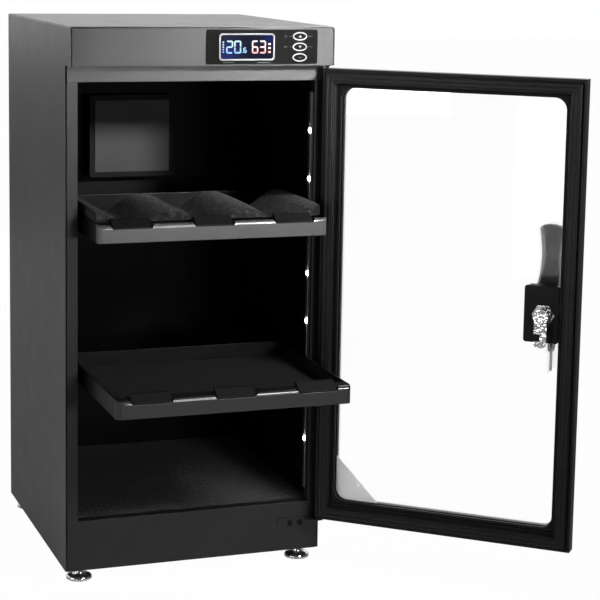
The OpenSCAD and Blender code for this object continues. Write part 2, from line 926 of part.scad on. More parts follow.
// Turns what is drawn at the closed door to the angle at which the door stands
module on_door() {
    translate([hinge_x, hinge_y, 0])
        rotate([0, 0, door_open])
            translate([-hinge_x, -hinge_y, 0])
                children();
}

// Outline of the glazed opening, grown by g, with corner radius r
window_x = 0;
window_w = cabinet_w - 2 * window_side;
window_h = door_h - window_top - window_bottom;
window_z = door_bottom + window_bottom + window_h / 2;
module window_outline(g, r) {
    translate([window_x, window_z])
        round_rect(window_w + 2 * g, window_h + 2 * g, r);
}

// Door frame: a slab with a lip, a rebate for the glass and bores for the hinge pins
module door_frame() {
    mid_z = door_bottom + door_h / 2;
    color("#1b1b1c")
        on_door()
            difference() {
                union() {
                    translate([0, 0, mid_z])
                        from_front(front_y - door_back_y + door_edge_r, door_t - door_edge_r)
                            square([cabinet_w, door_h], center = true);
                    translate([0, 0, mid_z])
                        from_front(front_y - door_back_y, door_edge_r + over)
                            round_rect(cabinet_w - 2 * door_edge_r * 0.3,
                                door_h - 2 * door_edge_r * 0.3, door_edge_r);
                }
                translate([0, 0, mid_z])
                    from_front(front_y - land_y, land_y)
                        square([cabinet_w - 2 * lip_w, door_h - 2 * lip_w], center = true);
                from_front(front_y - glass_y - glass_t, glass_y + glass_t)
                    window_outline(rebate, rebate);
                from_front(front_y - door_back_y - over, door_t + 2 * over)
                    window_outline(0, window_r);
                for (z = [door_bottom, door_top])
                    translate([hinge_x, hinge_y, z])
                        cylinder(h = 2 * (pin_reach + over), d = hinge_pin_d + 2 * running,
                            center = true, $fn = round_fn);
            }
}

// Glass with its hole for the lock
module door_glass() {
    color("#cfe3df")
        on_door()
            from_front(front_y - glass_y - glass_t, glass_t)
                difference() {
                    window_outline(rebate - fit, rebate - fit);
                    translate([lock_x, lock_axis_z])
                        circle(d = lock_d + 2 * fit, $fn = round_fn);
                }
}

// Retaining bead that clamps the glass into the frame
module glass_retainer() {
    color("#111112")
        on_door()
            from_front(front_y - glass_y, retainer_t)
                difference() {
                    window_outline(rebate - fit, rebate - fit);
                    window_outline(0, window_r);
                }
}

// Section of the magnetic gasket: a foot in the channel and a ribbed face
gasket_lip_h = 0.7;
function gasket_section() = let (w = gasket_w, f = gasket_y, b = land_y)
    [[0, -f - gasket_lip_h], [gasket_lip_h, -f], [w * 0.3, -f], [w * 0.36, -f - gasket_lip_h], [w * 0.42, -f],
    [w * 0.74, -f], [w * 0.8, -f - gasket_lip_h], [w * 0.86, -f], [w - gasket_lip_h, -f], [w, -f - gasket_lip_h],
    [w, -b * 0.45], [w * 0.86, -b * 0.52], [w * 0.86, -b * 0.66], [w, -b * 0.74], [w, -b],
    [0, -b], [0, -b * 0.74], [w * 0.14, -b * 0.66], [w * 0.14, -b * 0.52], [0, -b * 0.45]];

// One side of the gasket with mitred ends; l is the outer length
module gasket_side(l) {
    intersection() {
        rotate([90, 0, 90])
            translate([0, 0, -l / 2])
                linear_extrude(l)
                    polygon([for (p = gasket_section()) [p[1], p[0]]]);
        rotate([90, 0, 0])
            translate([0, 0, -over])
                linear_extrude(land_y + 2 * over)
                    polygon([[-l / 2, 0], [l / 2, 0], [l / 2 - gasket_w, gasket_w],
                        [-l / 2 + gasket_w, gasket_w]]);
    }
}

module door_gasket() {
    out_w = cabinet_w - 2 * gasket_inset;
    out_h = door_h - 2 * gasket_inset;
    color("#242425")
        on_door()
            translate([0, front_y, door_bottom + door_h / 2])
                union() {
                    for (a = [0, 180])
                        rotate([0, a, 0])
                            translate([0, 0, -out_h / 2])
                                gasket_side(out_w);
                    for (a = [90, 270])
                        rotate([0, a, 0])
                            translate([0, 0, -out_w / 2])
                                gasket_side(out_h);
                }
}

// Blank three-cornered plate in the window's lower corner at the hinge side
corner_l = 53;
module corner_plate() {
    right = window_x + window_w / 2 - fit;
    low = window_z - window_h / 2 + fit;
    color("#b9babb")
        on_door()
            from_front(front_y - glass_y - glass_t - sheet_t, sheet_t)
                difference() {
                    intersection() {
                        polygon([[right, low], [right, low + corner_l], [right - corner_l, low]]);
                        window_outline(-fit, window_r - fit);
                    }
                    translate([right - corner_l * 0.53, low + corner_l * 0.36])
                        circle(d = 2 * rim_t, $fn = 24);
                }
}

// Plate inside the glass that the lock's nut pulls against
plate_x = lock_x + (plate_w / 2 - (lock_inset - window_side)) + fit;
module lock_backing_plate() {
    r = 3;
    color("#0c0c0d")
        on_door()
            from_front(front_y - glass_y, plate_t)
                difference() {
                    translate([plate_x, lock_axis_z])
                        round_rect(plate_w, plate_h, r);
                    translate([lock_x, lock_axis_z])
                        circle(d = lock_d + 2 * fit, $fn = round_fn);
                }
}

// Planes of the lock, measured forward from the front frame
nut_y = glass_y - plate_t;
base_face_y = glass_y + glass_t + handle_base_t;
module lock_body() {
    color("#c9cbce")
        on_door()
            difference() {
                union() {
                    rod_y(lock_x, front_y - base_face_y, lock_axis_z,
                        base_face_y - nut_y + nut_t + rim_t, lock_d);
                    rod_y(lock_x, front_y - base_face_y - lock_flange_t, lock_axis_z,
                        lock_flange_t, lock_flange_d);
                }
                rod_y(lock_x, front_y - base_face_y - lock_flange_t - over, lock_axis_z,
                    base_face_y + lock_flange_t + 2 * over, plug_d + 2 * running);
            }
}

module lock_nut() {
    color("#d4d5d7")
        on_door()
            difference() {
                translate([lock_x, front_y - nut_y, lock_axis_z])
                    rotate([-90, 0, 0])
                        cylinder(h = nut_t, d = nut_across / cos(30), $fn = 6);
                rod_y(lock_x, front_y - nut_y - over, lock_axis_z, nut_t + 2 * over,
                    lock_d + 2 * running);
            }
}

// Handle base outside the glass, with a bore for the lock's body
module handle_base() {
    base_r = 6;
    color("#151516")
        on_door()
            difference() {
                union() {
                    from_front(front_y - base_face_y + rim_t, handle_base_t - rim_t)
                        translate([plate_x, lock_axis_z])
                            round_rect(plate_w, plate_h, base_r);
                    from_front(front_y - base_face_y, rim_t + over)
                        translate([plate_x, lock_axis_z])
                            round_rect(plate_w - 2 * rim_t, plate_h - 2 * rim_t, base_r - rim_t);
                }
                rod_y(lock_x, front_y - base_face_y - over, lock_axis_z, handle_base_t + 2 * over,
                    lock_d + 2 * running);
            }
}

// Grip: the side profile bends out of the base and rises, and the front profile flares at its end
grip_steps = 24;
grip_root_t = 20;
grip_sink = 14;
grip_tip_h = 5.5;
grip_low_z = lock_axis_z + plate_h / 2 - grip_sink;
function smooth(t, v) = let (n = len(v) - 1, s = t * n, i = min(n - 1, floor(s)), f = s - i,
    a = v[max(0, i - 1)], b = v[i], c = v[i + 1], d = v[min(n, i + 2)])
    b + f * ((c - a) / 2 + f * ((2 * a - 5 * b + 4 * c - d) / 2 + f * (3 * b - a - 3 * c + d) / 2));
function grip_mid(t) = [-grip_out * smooth(t, grip_out_shares),
    grip_low_z + (grip_h + grip_sink) * smooth(t, grip_rise_shares)];
function grip_edge(t, s) = let (k = s * grip_root_t / 2 * smooth(t, grip_thick_shares),
    lean = 90 * (1 - min(1, t * 2.2)))
    grip_mid(t) - k * [cos(lean), sin(lean)];
module grip_side() {
    polygon(concat([for (i = [0 : grip_steps]) grip_edge(i / grip_steps, 1)],
        [grip_mid(1) + [0, grip_tip_h]],
        [for (i = [0 : grip_steps]) grip_edge(1 - i / grip_steps, -1)]));
}
module grip_front() {
    top_w = grip_w * smooth(1, grip_width_shares);
    top = grip_mid(1)[1];
    polygon(concat([[grip_w / 2, grip_low_z - grip_root_t / 2]],
        [for (i = [0 : grip_steps]) let (t = i / grip_steps)
            [grip_w / 2 * smooth(t, grip_width_shares), grip_mid(t)[1]]],
        [for (a = [15 : 15 : 165]) [top_w / 2 * cos(a), top + grip_tip_h * sin(a)]],
        [for (i = [0 : grip_steps]) let (t = 1 - i / grip_steps)
            [-grip_w / 2 * smooth(t, grip_width_shares), grip_mid(t)[1]]],
        [[-grip_w / 2, grip_low_z - grip_root_t / 2]]));
}
module handle_grip() {
    color("#141415")
        on_door()
            translate([plate_x, front_y - base_face_y, 0])
                intersection() {
                    translate([-grip_w, 0, 0])
                        rotate([90, 0, 90])
                            linear_extrude(2 * grip_w)
                                grip_side();
                    from_front(-2 * grip_out, 2 * grip_out)
                        grip_front();
                }
}

// Plug with its keyway, turned by the key
plug_front = base_face_y + lock_flange_t;
module lock_cylinder() {
    color("#b9bbbe")
        on_door()
            difference() {
                rod_y(lock_x, front_y - plug_front - plug_head, lock_axis_z,
                    plug_front + plug_head + abs(cam_y), plug_d);
                translate([lock_x, front_y - plug_front - plug_head - over, lock_axis_z])
                    span([-blade_t / 2 - keyway_gap, 0, -blade_h / 2 - keyway_gap],
                        [blade_t / 2 + keyway_gap, keyway_l + over, blade_h / 2 + keyway_gap]);
            }
}

// Cam: a joggled arm with a hooked notch, hanging when the lock is open
module lock_cam() {
    head_d = plug_d + 2 * cam_head_rim;
    color("#d0d1d4")
        on_door()
            translate([lock_x, front_y - cam_y, lock_axis_z])
                difference() {
                    union() {
                        from_front(0, cam_t)
                            difference() {
                                union() {
                                    circle(d = head_d, $fn = round_fn);
                                    translate([-cam_w / 2, -cam_l + cam_tip_r])
                                        square([cam_w, cam_l - cam_tip_r]);
                                    translate([-cam_w / 2 + cam_tip_r, -cam_l])
                                        square([cam_w - 2 * cam_tip_r, 2 * cam_tip_r]);
                                    for (s = [-1, 1])
                                        translate([s * (cam_w / 2 - cam_tip_r), -cam_l + cam_tip_r])
                                            circle(r = cam_tip_r, $fn = round_fn);
                                }
                                translate([cam_w / 2 - hook_l, -hook_drop - hook_h])
                                    square([hook_l + over, hook_h]);
                            }
                        from_front(cam_t, cam_screw_t)
                            circle(d = cam_screw_d, $fn = round_fn);
                        translate([0, 0, -hook_drop + rim_t])
                            from_front(cam_t, rim_t)
                                square([cam_w, 2 * rim_t], center = true);
                    }
                    for (a = [0, 90])
                        translate([0, cam_t + cam_screw_t, 0])
                            rotate([0, a, 0])
                                cube([cam_screw_d * 0.6, cam_screw_t, rim_t / 2], center = true);
                }
}

// Outline of a key in its own plane: the blade points along -X from x = 0
module key_bow_outline() {
    difference() {
        translate([bow_l / 2 + bow_gap, 0])
            round_rect(bow_l, bow_w, bow_w * 0.42);
        translate([bow_gap + bow_l - bow_hole_inset, 0])
            circle(d = bow_hole_d, $fn = round_fn);
    }
}

module key_blade_outline() {
    teeth = [0.16, 0.34, 0.5, 0.66, 0.84];
    difference() {
        translate([-blade_l, -blade_h / 2])
            square([blade_l + bow_gap + rim_t, blade_h]);
        for (k = teeth)
            translate([-blade_l * k, -blade_h / 2])
                rotate([0, 0, 45])
                    square([1, 1] * blade_h * 0.24, center = true);
        for (s = [-1, 1])
            translate([-blade_l, s * blade_h / 2])
                rotate([0, 0, 45])
                    square([1, 1] * blade_h * 0.4, center = true);
    }
}

module key_shape() {
    union() {
        linear_extrude(bow_t, center = true)
            key_bow_outline();
        linear_extrude(blade_t, center = true)
            key_blade_outline();
    }
}

// Key in the lock: its blade in the plug and its bow in an upright plane
key_y = front_y - plug_front - plug_head;
module key() {
    color("#161617")
        on_door()
            translate([lock_x, key_y - fit, lock_axis_z])
                rotate([0, 0, -90])
                    rotate([90, 0, 0])
                        key_shape();
}

// Ring through the key's bow, and the spare key that hangs from it
ring_r = ring_d / 2;
ring_y = key_y - fit - bow_gap - bow_l + bow_hole_inset;
ring_drop = bow_hole_d / 2 - ring_wire / 2 - 2 * fit;
ring_z = lock_axis_z - ring_drop - ring_r;
module key_ring() {
    color("#c8cacd")
        on_door()
            translate([lock_x, ring_y, ring_z])
                rotate([90, 0, 0])
                    rotate_extrude($fn = round_fn)
                        translate([ring_r, 0])
                            circle(d = ring_wire, $fn = 16);
}

spare_z = ring_z - ring_r - ring_drop;
module spare_key() {
    color("#161617")
        on_door()
            translate([lock_x, ring_y, spare_z - (bow_l - bow_hole_inset + bow_gap)])
                rotate([0, -90, 90])
                    rotate([90, 0, 0])
                        key_shape();
}

// Trays. Each is drawn with its front at y = 0 and its underside at z = 0
pan_slope_y = 9;
pan_front_y = trim_t + pan_slope_y + rim_t;
module tray_pan() {
    half = tray_x - fit;
    span([-half, trim_t, 0], [half, tray_depth, sheet_t]);
    for (s = [-1, 1]) {
        span([min(s * half, s * (half - wall_t)), trim_t, 0],
            [max(s * half, s * (half - wall_t)), tray_depth, wall_h]);
        span([min(s * half, s * (half + fit + glide_w)), tray_depth - glide_l, glide_lift],
            [max(s * half, s * (half + fit + glide_w)), tray_depth, glide_lift + glide_h]);
    }
    span([-half, tray_depth - wall_t, 0], [half, tray_depth, wall_h]);
    translate([-half, 0, 0])
        rotate([90, 0, 90])
            linear_extrude(2 * half)
                polygon([[trim_t, 0], [trim_t, trim_h - recess_h],
                    [trim_t + pan_slope_y, wall_h],
                    [pan_front_y, wall_h],
                    [pan_front_y, 0]]);
}

// Plan outline of the trim: a bar with round front corners
module trim_plan() {
    translate([-tray_x, trim_r])
        square([tray_w, trim_t - trim_r]);
    translate([-tray_x + trim_r, 0])
        square([tray_w - 2 * trim_r, trim_t]);
    for (s = [-1, 1])
        intersection() {
            translate([s * (tray_x - trim_r), trim_r])
                circle(r = trim_r, $fn = round_fn);
            translate([s * tray_x, trim_t / 2])
                square([2 * trim_r, trim_t], center = true);
        }
}

// Trim: a rounded bar with three grip recesses
trim_top_r = 4.4;
recess_slant = 3.6;
module tray_trim() {
    difference() {
        intersection() {
            linear_extrude(trim_h)
                trim_plan();
            translate([-tray_x, 0, 0])
                rotate([90, 0, 90])
                    linear_extrude(tray_w)
                        union() {
                            square([trim_t, trim_h - trim_top_r]);
                            translate([trim_top_r, 0])
                                square([trim_t - trim_top_r, trim_h]);
                            translate([trim_top_r, trim_h - trim_top_r])
                                circle(r = trim_top_r, $fn = round_fn);
                        }
        }
        for (i = [-1 : 1])
            translate([i * recess_pitch, 0, 0])
                from_front(-over, trim_t + 2 * over)
                    polygon([[-recess_w / 2, trim_h - recess_h], [recess_w / 2, trim_h - recess_h],
                        [recess_w / 2 + recess_slant, trim_h + rim_t],
                        [-recess_w / 2 - recess_slant, trim_h + rim_t]]);
    }
}

// Rubber grips that lie in the recesses and stand up over the slope behind
pad_t = 1.6;
pad_rise = 4.4;
module tray_pads() {
    rise = wall_h - trim_h + recess_h;
    for (i = [-1 : 1])
        translate([i * recess_pitch - recess_w / 2 + fit, 0, trim_h - recess_h])
            rotate([90, 0, 90])
                linear_extrude(recess_w - 2 * fit)
                    polygon([[pad_t, 0], [trim_t, 0], [trim_t + pan_slope_y, rise],
                        [pan_front_y, rise], [pan_front_y, rise + pad_rise],
                        [trim_t + pan_slope_y - pad_rise, rise + pad_rise], [pad_t, pad_t]]);
}

// Places a tray piece; out is how far the tray is drawn and z its height above the base
module at_tray(out, z) {
    translate([0, front_y - out, base_z + z])
        children();
}

module tray_upper_pan() {
    color("#19191a")
        at_tray(upper_out, upper_tray_z)
            tray_pan();
}

module tray_lower_pan() {
    color("#19191a")
        at_tray(lower_out, lower_tray_z)
            tray_pan();
}

module tray_upper_trim() {
    color("#6e6f71")
        at_tray(upper_out, upper_tray_z)
            tray_trim();
}

module tray_lower_trim() {
    color("#4a4b4d")
        at_tray(lower_out, lower_tray_z)
            tray_trim();
}

module tray_upper_pads() {
    color("#0e0e0f")
        at_tray(upper_out, upper_tray_z)
            tray_pads();
}

module tray_lower_pads() {
    color("#0e0e0f")
        at_tray(lower_out, lower_tray_z)
            tray_pads();
}

// Lens foam: a block whose top waves down into a cradle for each lens
foam_gap = 1;
foam_steps = 60;
foam_y = pan_front_y + foam_gap;
module lens_foam() {
    half = tray_x - fit - wall_t - foam_gap;
    crest = [for (i = [0 : foam_steps]) let (t = i / foam_steps)
        [half - 2 * half * t, foam_h - cradle_h * (1 - pow(abs(cos(180 * cradle_n * t)), 1.3))]];
    color("#2a2a2b")
        at_tray(upper_out, upper_tray_z)
            from_front(foam_y, foam_l)
                polygon(concat([[-half, sheet_t], [half, sheet_t]], crest));
}

module tray_lower_mat() {
    half = tray_x - fit - wall_t - fit;
    color("#121213")
        at_tray(lower_out, lower_tray_z)
            span([-half, foam_y, sheet_t], [half, tray_depth - wall_t - fit, sheet_t + mat_t]);
}

// Levelling foot: a turned disc with a cone and a threaded stem
module foot(sx, sy) {
    r = foot_d / 2;
    stem = foot_stem_d / 2;
    disc = foot_h * 0.2;
    shoulder = foot_h * 0.42;
    color("#cfd0d2")
        translate(foot_place(sx, sy))
            rotate_extrude($fn = round_fn)
                polygon([[0, 0], [r - rim_t / 2, 0], [r, rim_t / 2], [r, disc],
                    [r * 0.94, disc + rim_t], [r * 0.8, disc + 1.6 * rim_t],
                    [r * 0.56, shoulder], [r * 0.5, shoulder + rim_t], [r * 0.44, foot_h * 0.78],
                    [stem, foot_h * 0.78], [stem, foot_h + sheet_t + nut_h + foot_h * 0.6],
                    [stem - rim_t / 2, foot_h + sheet_t + nut_h + foot_h * 0.66],
                    [0, foot_h + sheet_t + nut_h + foot_h * 0.66]]);
}

module foot_front_left() { foot(-1, -1); }
module foot_front_right() { foot(1, -1); }
module foot_rear_left() { foot(-1, 1); }
module foot_rear_right() { foot(1, 1); }

casing_wrap();
header_panel();
top_rail();
stile_left();
stile_right();
kick_panel();
back_panel();
base_pan();
chamber_floor();
floor_mat();
ceiling_panel();
shelf_standards();
rails_upper();
rails_lower();
dryer_housing();
dryer_face_plate();
dryer_heat_sink();
humidity_sensor();
control_fascia();
display_bezel();
display_window();
display_module();
button_rings();
control_board();
led_channel();
led_strip();
led_lamps();
hinge_plates();
dc_inlet();
case_screws();
door_frame();
door_glass();
glass_retainer();
door_gasket();
corner_plate();
lock_backing_plate();
lock_body();
lock_nut();
handle_base();
handle_grip();
lock_cylinder();
lock_cam();
key();
key_ring();
spare_key();
tray_upper_pan();
tray_upper_trim();
tray_upper_pads();
lens_foam();
tray_lower_pan();
tray_lower_trim();
tray_lower_pads();
tray_lower_mat();
button_up();
button_down();
button_set();
foot_front_left();
foot_front_right();
foot_rear_left();
foot_rear_right();
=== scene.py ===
"""Studio scene of a camera dry cabinet with its glass door swung open and both trays drawn out."""

import json
import logging
import math
from collections.abc import Callable
from dataclasses import dataclass
from enum import Enum
from functools import lru_cache

import bmesh
import bpy
from mathutils import Matrix, Vector, noise


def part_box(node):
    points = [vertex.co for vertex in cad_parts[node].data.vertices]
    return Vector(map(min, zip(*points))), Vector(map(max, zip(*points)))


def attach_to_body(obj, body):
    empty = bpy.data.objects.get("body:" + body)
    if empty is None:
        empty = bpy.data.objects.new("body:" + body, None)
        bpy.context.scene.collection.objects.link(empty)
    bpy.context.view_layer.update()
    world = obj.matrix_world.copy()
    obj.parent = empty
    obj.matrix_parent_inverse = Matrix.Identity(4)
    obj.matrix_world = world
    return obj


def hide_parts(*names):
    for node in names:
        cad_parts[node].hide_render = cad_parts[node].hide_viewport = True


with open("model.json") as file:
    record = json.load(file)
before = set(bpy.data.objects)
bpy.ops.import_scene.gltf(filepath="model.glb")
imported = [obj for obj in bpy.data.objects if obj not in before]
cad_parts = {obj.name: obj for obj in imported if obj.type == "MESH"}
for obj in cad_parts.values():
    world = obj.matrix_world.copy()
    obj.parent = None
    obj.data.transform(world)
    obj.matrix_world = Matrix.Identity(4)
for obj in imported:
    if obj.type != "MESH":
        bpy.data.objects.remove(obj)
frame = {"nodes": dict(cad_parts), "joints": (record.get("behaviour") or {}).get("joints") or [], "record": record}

LOG = logging.getLogger("dry_cabinet")
MM = 0.001
PURE_WHITE = (1.0, 1.0, 1.0, 1.0)
Colour = tuple[float, float, float]
Outline = list[tuple[float, float]]
Row = list[bmesh.types.BMVert]
Socket = bpy.types.NodeSocket
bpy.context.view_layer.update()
RECORD = frame["record"]
BODY_OF = {node: body for body, nodes in RECORD["behaviour"]["bodies"].items() for node in nodes}


class Grain(Enum):
    """How coarse the surface of a moulded piece is."""

    SMOOTH = 0.0
    FINE = 0.06


class Digit(Enum):
    """Lit bars of a figure: top, upper left, upper right, middle, lower left, lower right, bottom."""

    TWO = (1, 0, 1, 1, 1, 0, 1)
    ZERO = (1, 1, 1, 0, 1, 1, 1)
    SIX = (1, 1, 0, 1, 1, 1, 1)
    THREE = (1, 0, 1, 1, 0, 1, 1)


class Wiring:
    """Short way to wire a shader tree."""

    def __init__(self, tree: bpy.types.NodeTree) -> None:
        """Takes a tree and empties it."""
        self.tree = tree
        tree.nodes.clear()

    def link(self, source: Socket, target: Socket) -> None:
        """Joins two sockets."""
        self.tree.links.new(source, target)

    def fill(self, target: Socket, value: object) -> None:
        """Joins an input to another node's socket, or sets it to a plain value."""
        if isinstance(value, Socket):
            self.link(value, target)
        else:
            target.default_value = value

    def node(self, kind: str, inputs: dict | None = None, **settings: object) -> bpy.types.Node:
        """Adds a node.

        Args:
            kind: Node type without its ShaderNode prefix.
            inputs: Values or sockets for the node's inputs, by name or number.
            settings: Attributes of the node.

        Returns:
            The new node.
        """
        made = self.tree.nodes.new("ShaderNode" + kind)
        for key, value in settings.items():
            setattr(made, key, value)
        for key, value in (inputs or {}).items():
            self.fill(made.inputs[key], value)
        return made

    def math(self, operation: str, first: Socket, second: object) -> Socket:
        """Adds a reckoning of two values and returns its socket."""
        return self.node("Math", {0: first, 1: second}, operation=operation).outputs[0]


class Graph(Wiring):
    """Nodes of one material round a Principled shader."""

    def __init__(self, name: str) -> None:
        """Starts a material.

        Args:
            name: Name of the material.
        """
        self.material = bpy.data.materials.new(name)
        self.material.use_nodes = True
        super().__init__(self.material.node_tree)
        self.out = self.node("OutputMaterial")
        self.bsdf = self.node("BsdfPrincipled")
        self.link(self.bsdf.outputs[0], self.out.inputs[0])
        self.coords = self.node("TexCoord").outputs["Object"]

    def noise(self, scale: float, detail: float = 3.0, roughness: float = 0.55) -> Socket:
        """Adds noise, scale waves of it for each metre, and returns its value socket."""
        values = {"Vector": self.coords, "Scale": scale, "Detail": detail, "Roughness": roughness}
        return self.node("TexNoise", values).outputs["Fac"]

    def cells(self, scale: float) -> Socket:
        """Adds cells, as many for each metre as scale says, and returns their distance socket."""
        return self.node("TexVoronoi", {"Vector": self.coords, "Scale": scale}).outputs["Distance"]

    def ramp(self, source: Socket, stops: list[tuple[float, Colour]]) -> Socket:
        """Adds a colour ramp.

        Args:
            source: Socket that drives the ramp.
            stops: Places and colours of the stops.

        Returns:
            The ramp's colour socket.
        """
        made = self.node("ValToRGB", {"Fac": source})
        elements = made.color_ramp.elements
        while len(elements) < len(stops):
            elements.new(0.5)
        for element, (place, colour) in zip(elements, stops):
            element.position = place
            element.color = (*colour, 1.0)
        return made.outputs["Color"]

    def span(self, source: Socket, low: float, high: float) -> Socket:
        """Maps a value from the middle of its range to low..high and returns the socket."""
        values = {"Value": source, "From Min": 0.3, "From Max": 0.7, "To Min": low, "To Max": high}
        return self.node("MapRange", values).outputs["Result"]

    def bump(self, height: Socket, depth: float, under: Socket | None = None) -> Socket:
        """Adds a bump.

        Args:
            height: Socket that gives the height.
            depth: Height of the bump in metres.
            under: Normal that this bump lies on.

        Returns:
            The bump's normal socket.
        """
        values: dict[str, object] = {"Height": height, "Distance": depth, "Strength": 1.0}
        if under is not None:
            values["Normal"] = under
        return self.node("Bump", values).outputs["Normal"]

    def set(self, **values: object) -> None:
        """Sets inputs of the shader; an underscore in a name stands for a space."""
        for key, value in values.items():
            self.fill(self.bsdf.inputs[key.replace("_", " ")], value)


def shade(colour: Colour, factor: float) -> Colour:
    """Makes a colour lighter or darker by a factor."""
    return (colour[0] * factor, colour[1] * factor, colour[2] * factor)


def grey(level: float, blue: float | None = None) -> Colour:
    """Makes a grey, whose blue may differ a little."""
    return (level, level, level if blue is None else blue)


@dataclass(frozen=True)
class Finish:
    """A finish of one or more pieces."""

    name: str

    @lru_cache(maxsize=None)
    def material(self) -> bpy.types.Material:
        """Builds the material once and returns it."""
        graph = Graph(self.name)
        self.wire(graph)
        return graph.material

    def wire(self, graph: Graph) -> None:
        """Wires the material's nodes."""


@dataclass(frozen=True)
class PowderCoat(Finish):
    """Satin powder coat on sheet steel, with orange peel and slightly uneven gloss."""

    colour: Colour
    rough: float
    specular: float
    peel: float = 0.012

    def wire(self, graph: Graph) -> None:
        """Wires cloudy colour, uneven gloss and two scales of bump."""
        cloud = graph.noise(9.0, 2.0)
        colour = graph.ramp(cloud, [(0.25, shade(self.colour, 0.93)), (0.75, shade(self.colour, 1.07))])
        normal = graph.bump(graph.noise(240.0, 1.0), self.peel * MM)
        normal = graph.bump(graph.noise(900.0, 1.0), 0.08 * self.peel * MM, normal)
        rough = graph.span(graph.noise(36.0, 3.0), self.rough - 0.01, self.rough + 0.05)
        graph.set(Base_Color=colour, Roughness=rough, Normal=normal, Specular_IOR_Level=self.specular)


@dataclass(frozen=True)
class Moulded(Finish):
    """Moulded plastic with a grain from its tool."""

    colour: Colour
    rough: float
    grain: Grain
    specular: float
    mottle: float = 0.05

    def wire(self, graph: Graph) -> None:
        """Wires the tool's grain and faint flow marks."""
        flow = graph.noise(14.0, 2.0)
        colour = graph.ramp(flow, [(0.3, shade(self.colour, 0.9)), (0.7, shade(self.colour, 1.12))])
        normal = graph.bump(graph.cells(1500.0), self.grain.value * 0.1 * MM)
        rough = graph.span(graph.noise(60.0, 3.0), self.rough - self.mottle, self.rough + self.mottle)
        graph.set(Base_Color=colour, Roughness=rough, Normal=normal, Specular_IOR_Level=self.specular)


@dataclass(frozen=True)
class Plated(Finish):
    """Bright plated metal with polishing haze and fine scratches."""

    colour: Colour
    rough: float
    haze: float
    dimple: float = 0.02

    def wire(self, graph: Graph) -> None:
        """Wires haze, stretched scratches and a slight waviness."""
        smears = graph.node("Mapping", {"Vector": graph.coords, "Scale": (260.0, 260.0, 2400.0)}).outputs[0]
        scratch = graph.node("TexNoise", {"Vector": smears, "Scale": 1.0, "Detail": 2.0}).outputs["Fac"]
        rough = graph.span(graph.noise(180.0, 3.0), self.rough, self.rough + self.haze)
        colour = graph.ramp(graph.noise(90.0, 2.0), [(0.3, shade(self.colour, 0.86)), (0.7, self.colour)])
        normal = graph.bump(scratch, 0.004 * MM)
        normal = graph.bump(graph.noise(260.0, 1.0), self.dimple * MM, normal)
        graph.set(Base_Color=colour, Metallic=1.0, Roughness=rough, Normal=normal)


@dataclass(frozen=True)
class Rubber(Finish):
    """Soft black rubber or vinyl with a dusty bloom."""

    colour: Colour
    rough: float
    bloom: float
    specular: float

    def wire(self, graph: Graph) -> None:
        """Wires the bloom, a fine grain and uneven gloss."""
        bloom = graph.noise(30.0, 4.0)
        colour = graph.ramp(bloom, [(0.35, self.colour), (0.8, shade(self.colour, self.bloom))])
        normal = graph.bump(graph.noise(900.0, 2.0), 0.008 * MM)
        rough = graph.span(graph.noise(75.0, 3.0), self.rough - 0.06, self.rough + 0.08)
        graph.set(Base_Color=colour, Roughness=rough, Normal=normal, Specular_IOR_Level=self.specular)


@dataclass(frozen=True)
class Foam(Finish):
    """Closed-cell foam: matt, speckled with cut cells; cell and patch are in millimetres."""

    colour: Colour
    cell: float
    patch: float
    contrast: float
    sheen: float = 0.15

    def wire(self, graph: Graph) -> None:
        """Wires cut cells, a coarser nap, worn patches and their shade."""
        scale = 1.0 / (self.cell * MM)
        cells = graph.cells(scale)
        nap = graph.noise(scale * 0.45, 4.0, 0.7)
        patches = graph.noise(1.0 / (self.patch * MM), 3.0, 0.65)
        worn = graph.span(patches, 1.0 - self.contrast, 1.0 + self.contrast)
        mixed = graph.math("MULTIPLY", graph.math("MULTIPLY", cells, nap), worn)
        stops = [(0.06, shade(self.colour, 0.3)), (0.26, self.colour), (0.5, shade(self.colour, 3.0))]
        normal = graph.bump(nap, 0.5 * self.cell * MM)
        normal = graph.bump(cells, 0.3 * self.cell * MM, normal)
        graph.set(Base_Color=graph.ramp(mixed, stops), Roughness=0.95, Normal=normal)
        graph.set(Specular_IOR_Level=0.08, Sheen_Weight=self.sheen, Sheen_Roughness=0.6)


@dataclass(frozen=True)
class FloatGlass(Finish):
    """Clear float glass that lets its surroundings through."""

    tint: Colour = (0.975, 0.99, 0.985)
    alpha: float = 0.16

    def wire(self, graph: Graph) -> None:
        """Wires a smooth, faintly uneven clear sheet."""
        normal = graph.bump(graph.noise(3.0, 1.0), 0.02 * MM)
        graph.set(Base_Color=(*self.tint, 1.0), Roughness=0.02, Normal=normal)
        graph.set(Transmission_Weight=1.0, IOR=1.45, Alpha=self.alpha)


@dataclass(frozen=True)
class Glow(Finish):
    """A lit mark or lamp whose colour shifts from its foot to its head."""

    low: Colour
    high: Colour
    strength: float
    foot: float
    head: float

    def wire(self, graph: Graph) -> None:
        """Wires emission that follows the height."""
        height = graph.node("SeparateXYZ", {0: graph.coords}).outputs["Z"]
        values = {"Value": height, "From Min": self.foot, "From Max": self.head}
        place = graph.node("MapRange", values).outputs["Result"]
        colour = graph.ramp(place, [(0.0, self.low), (1.0, self.high)])
        graph.set(Base_Color=(0.02, 0.02, 0.02, 1.0), Roughness=0.4)
        graph.set(Emission_Color=colour, Emission_Strength=self.strength)


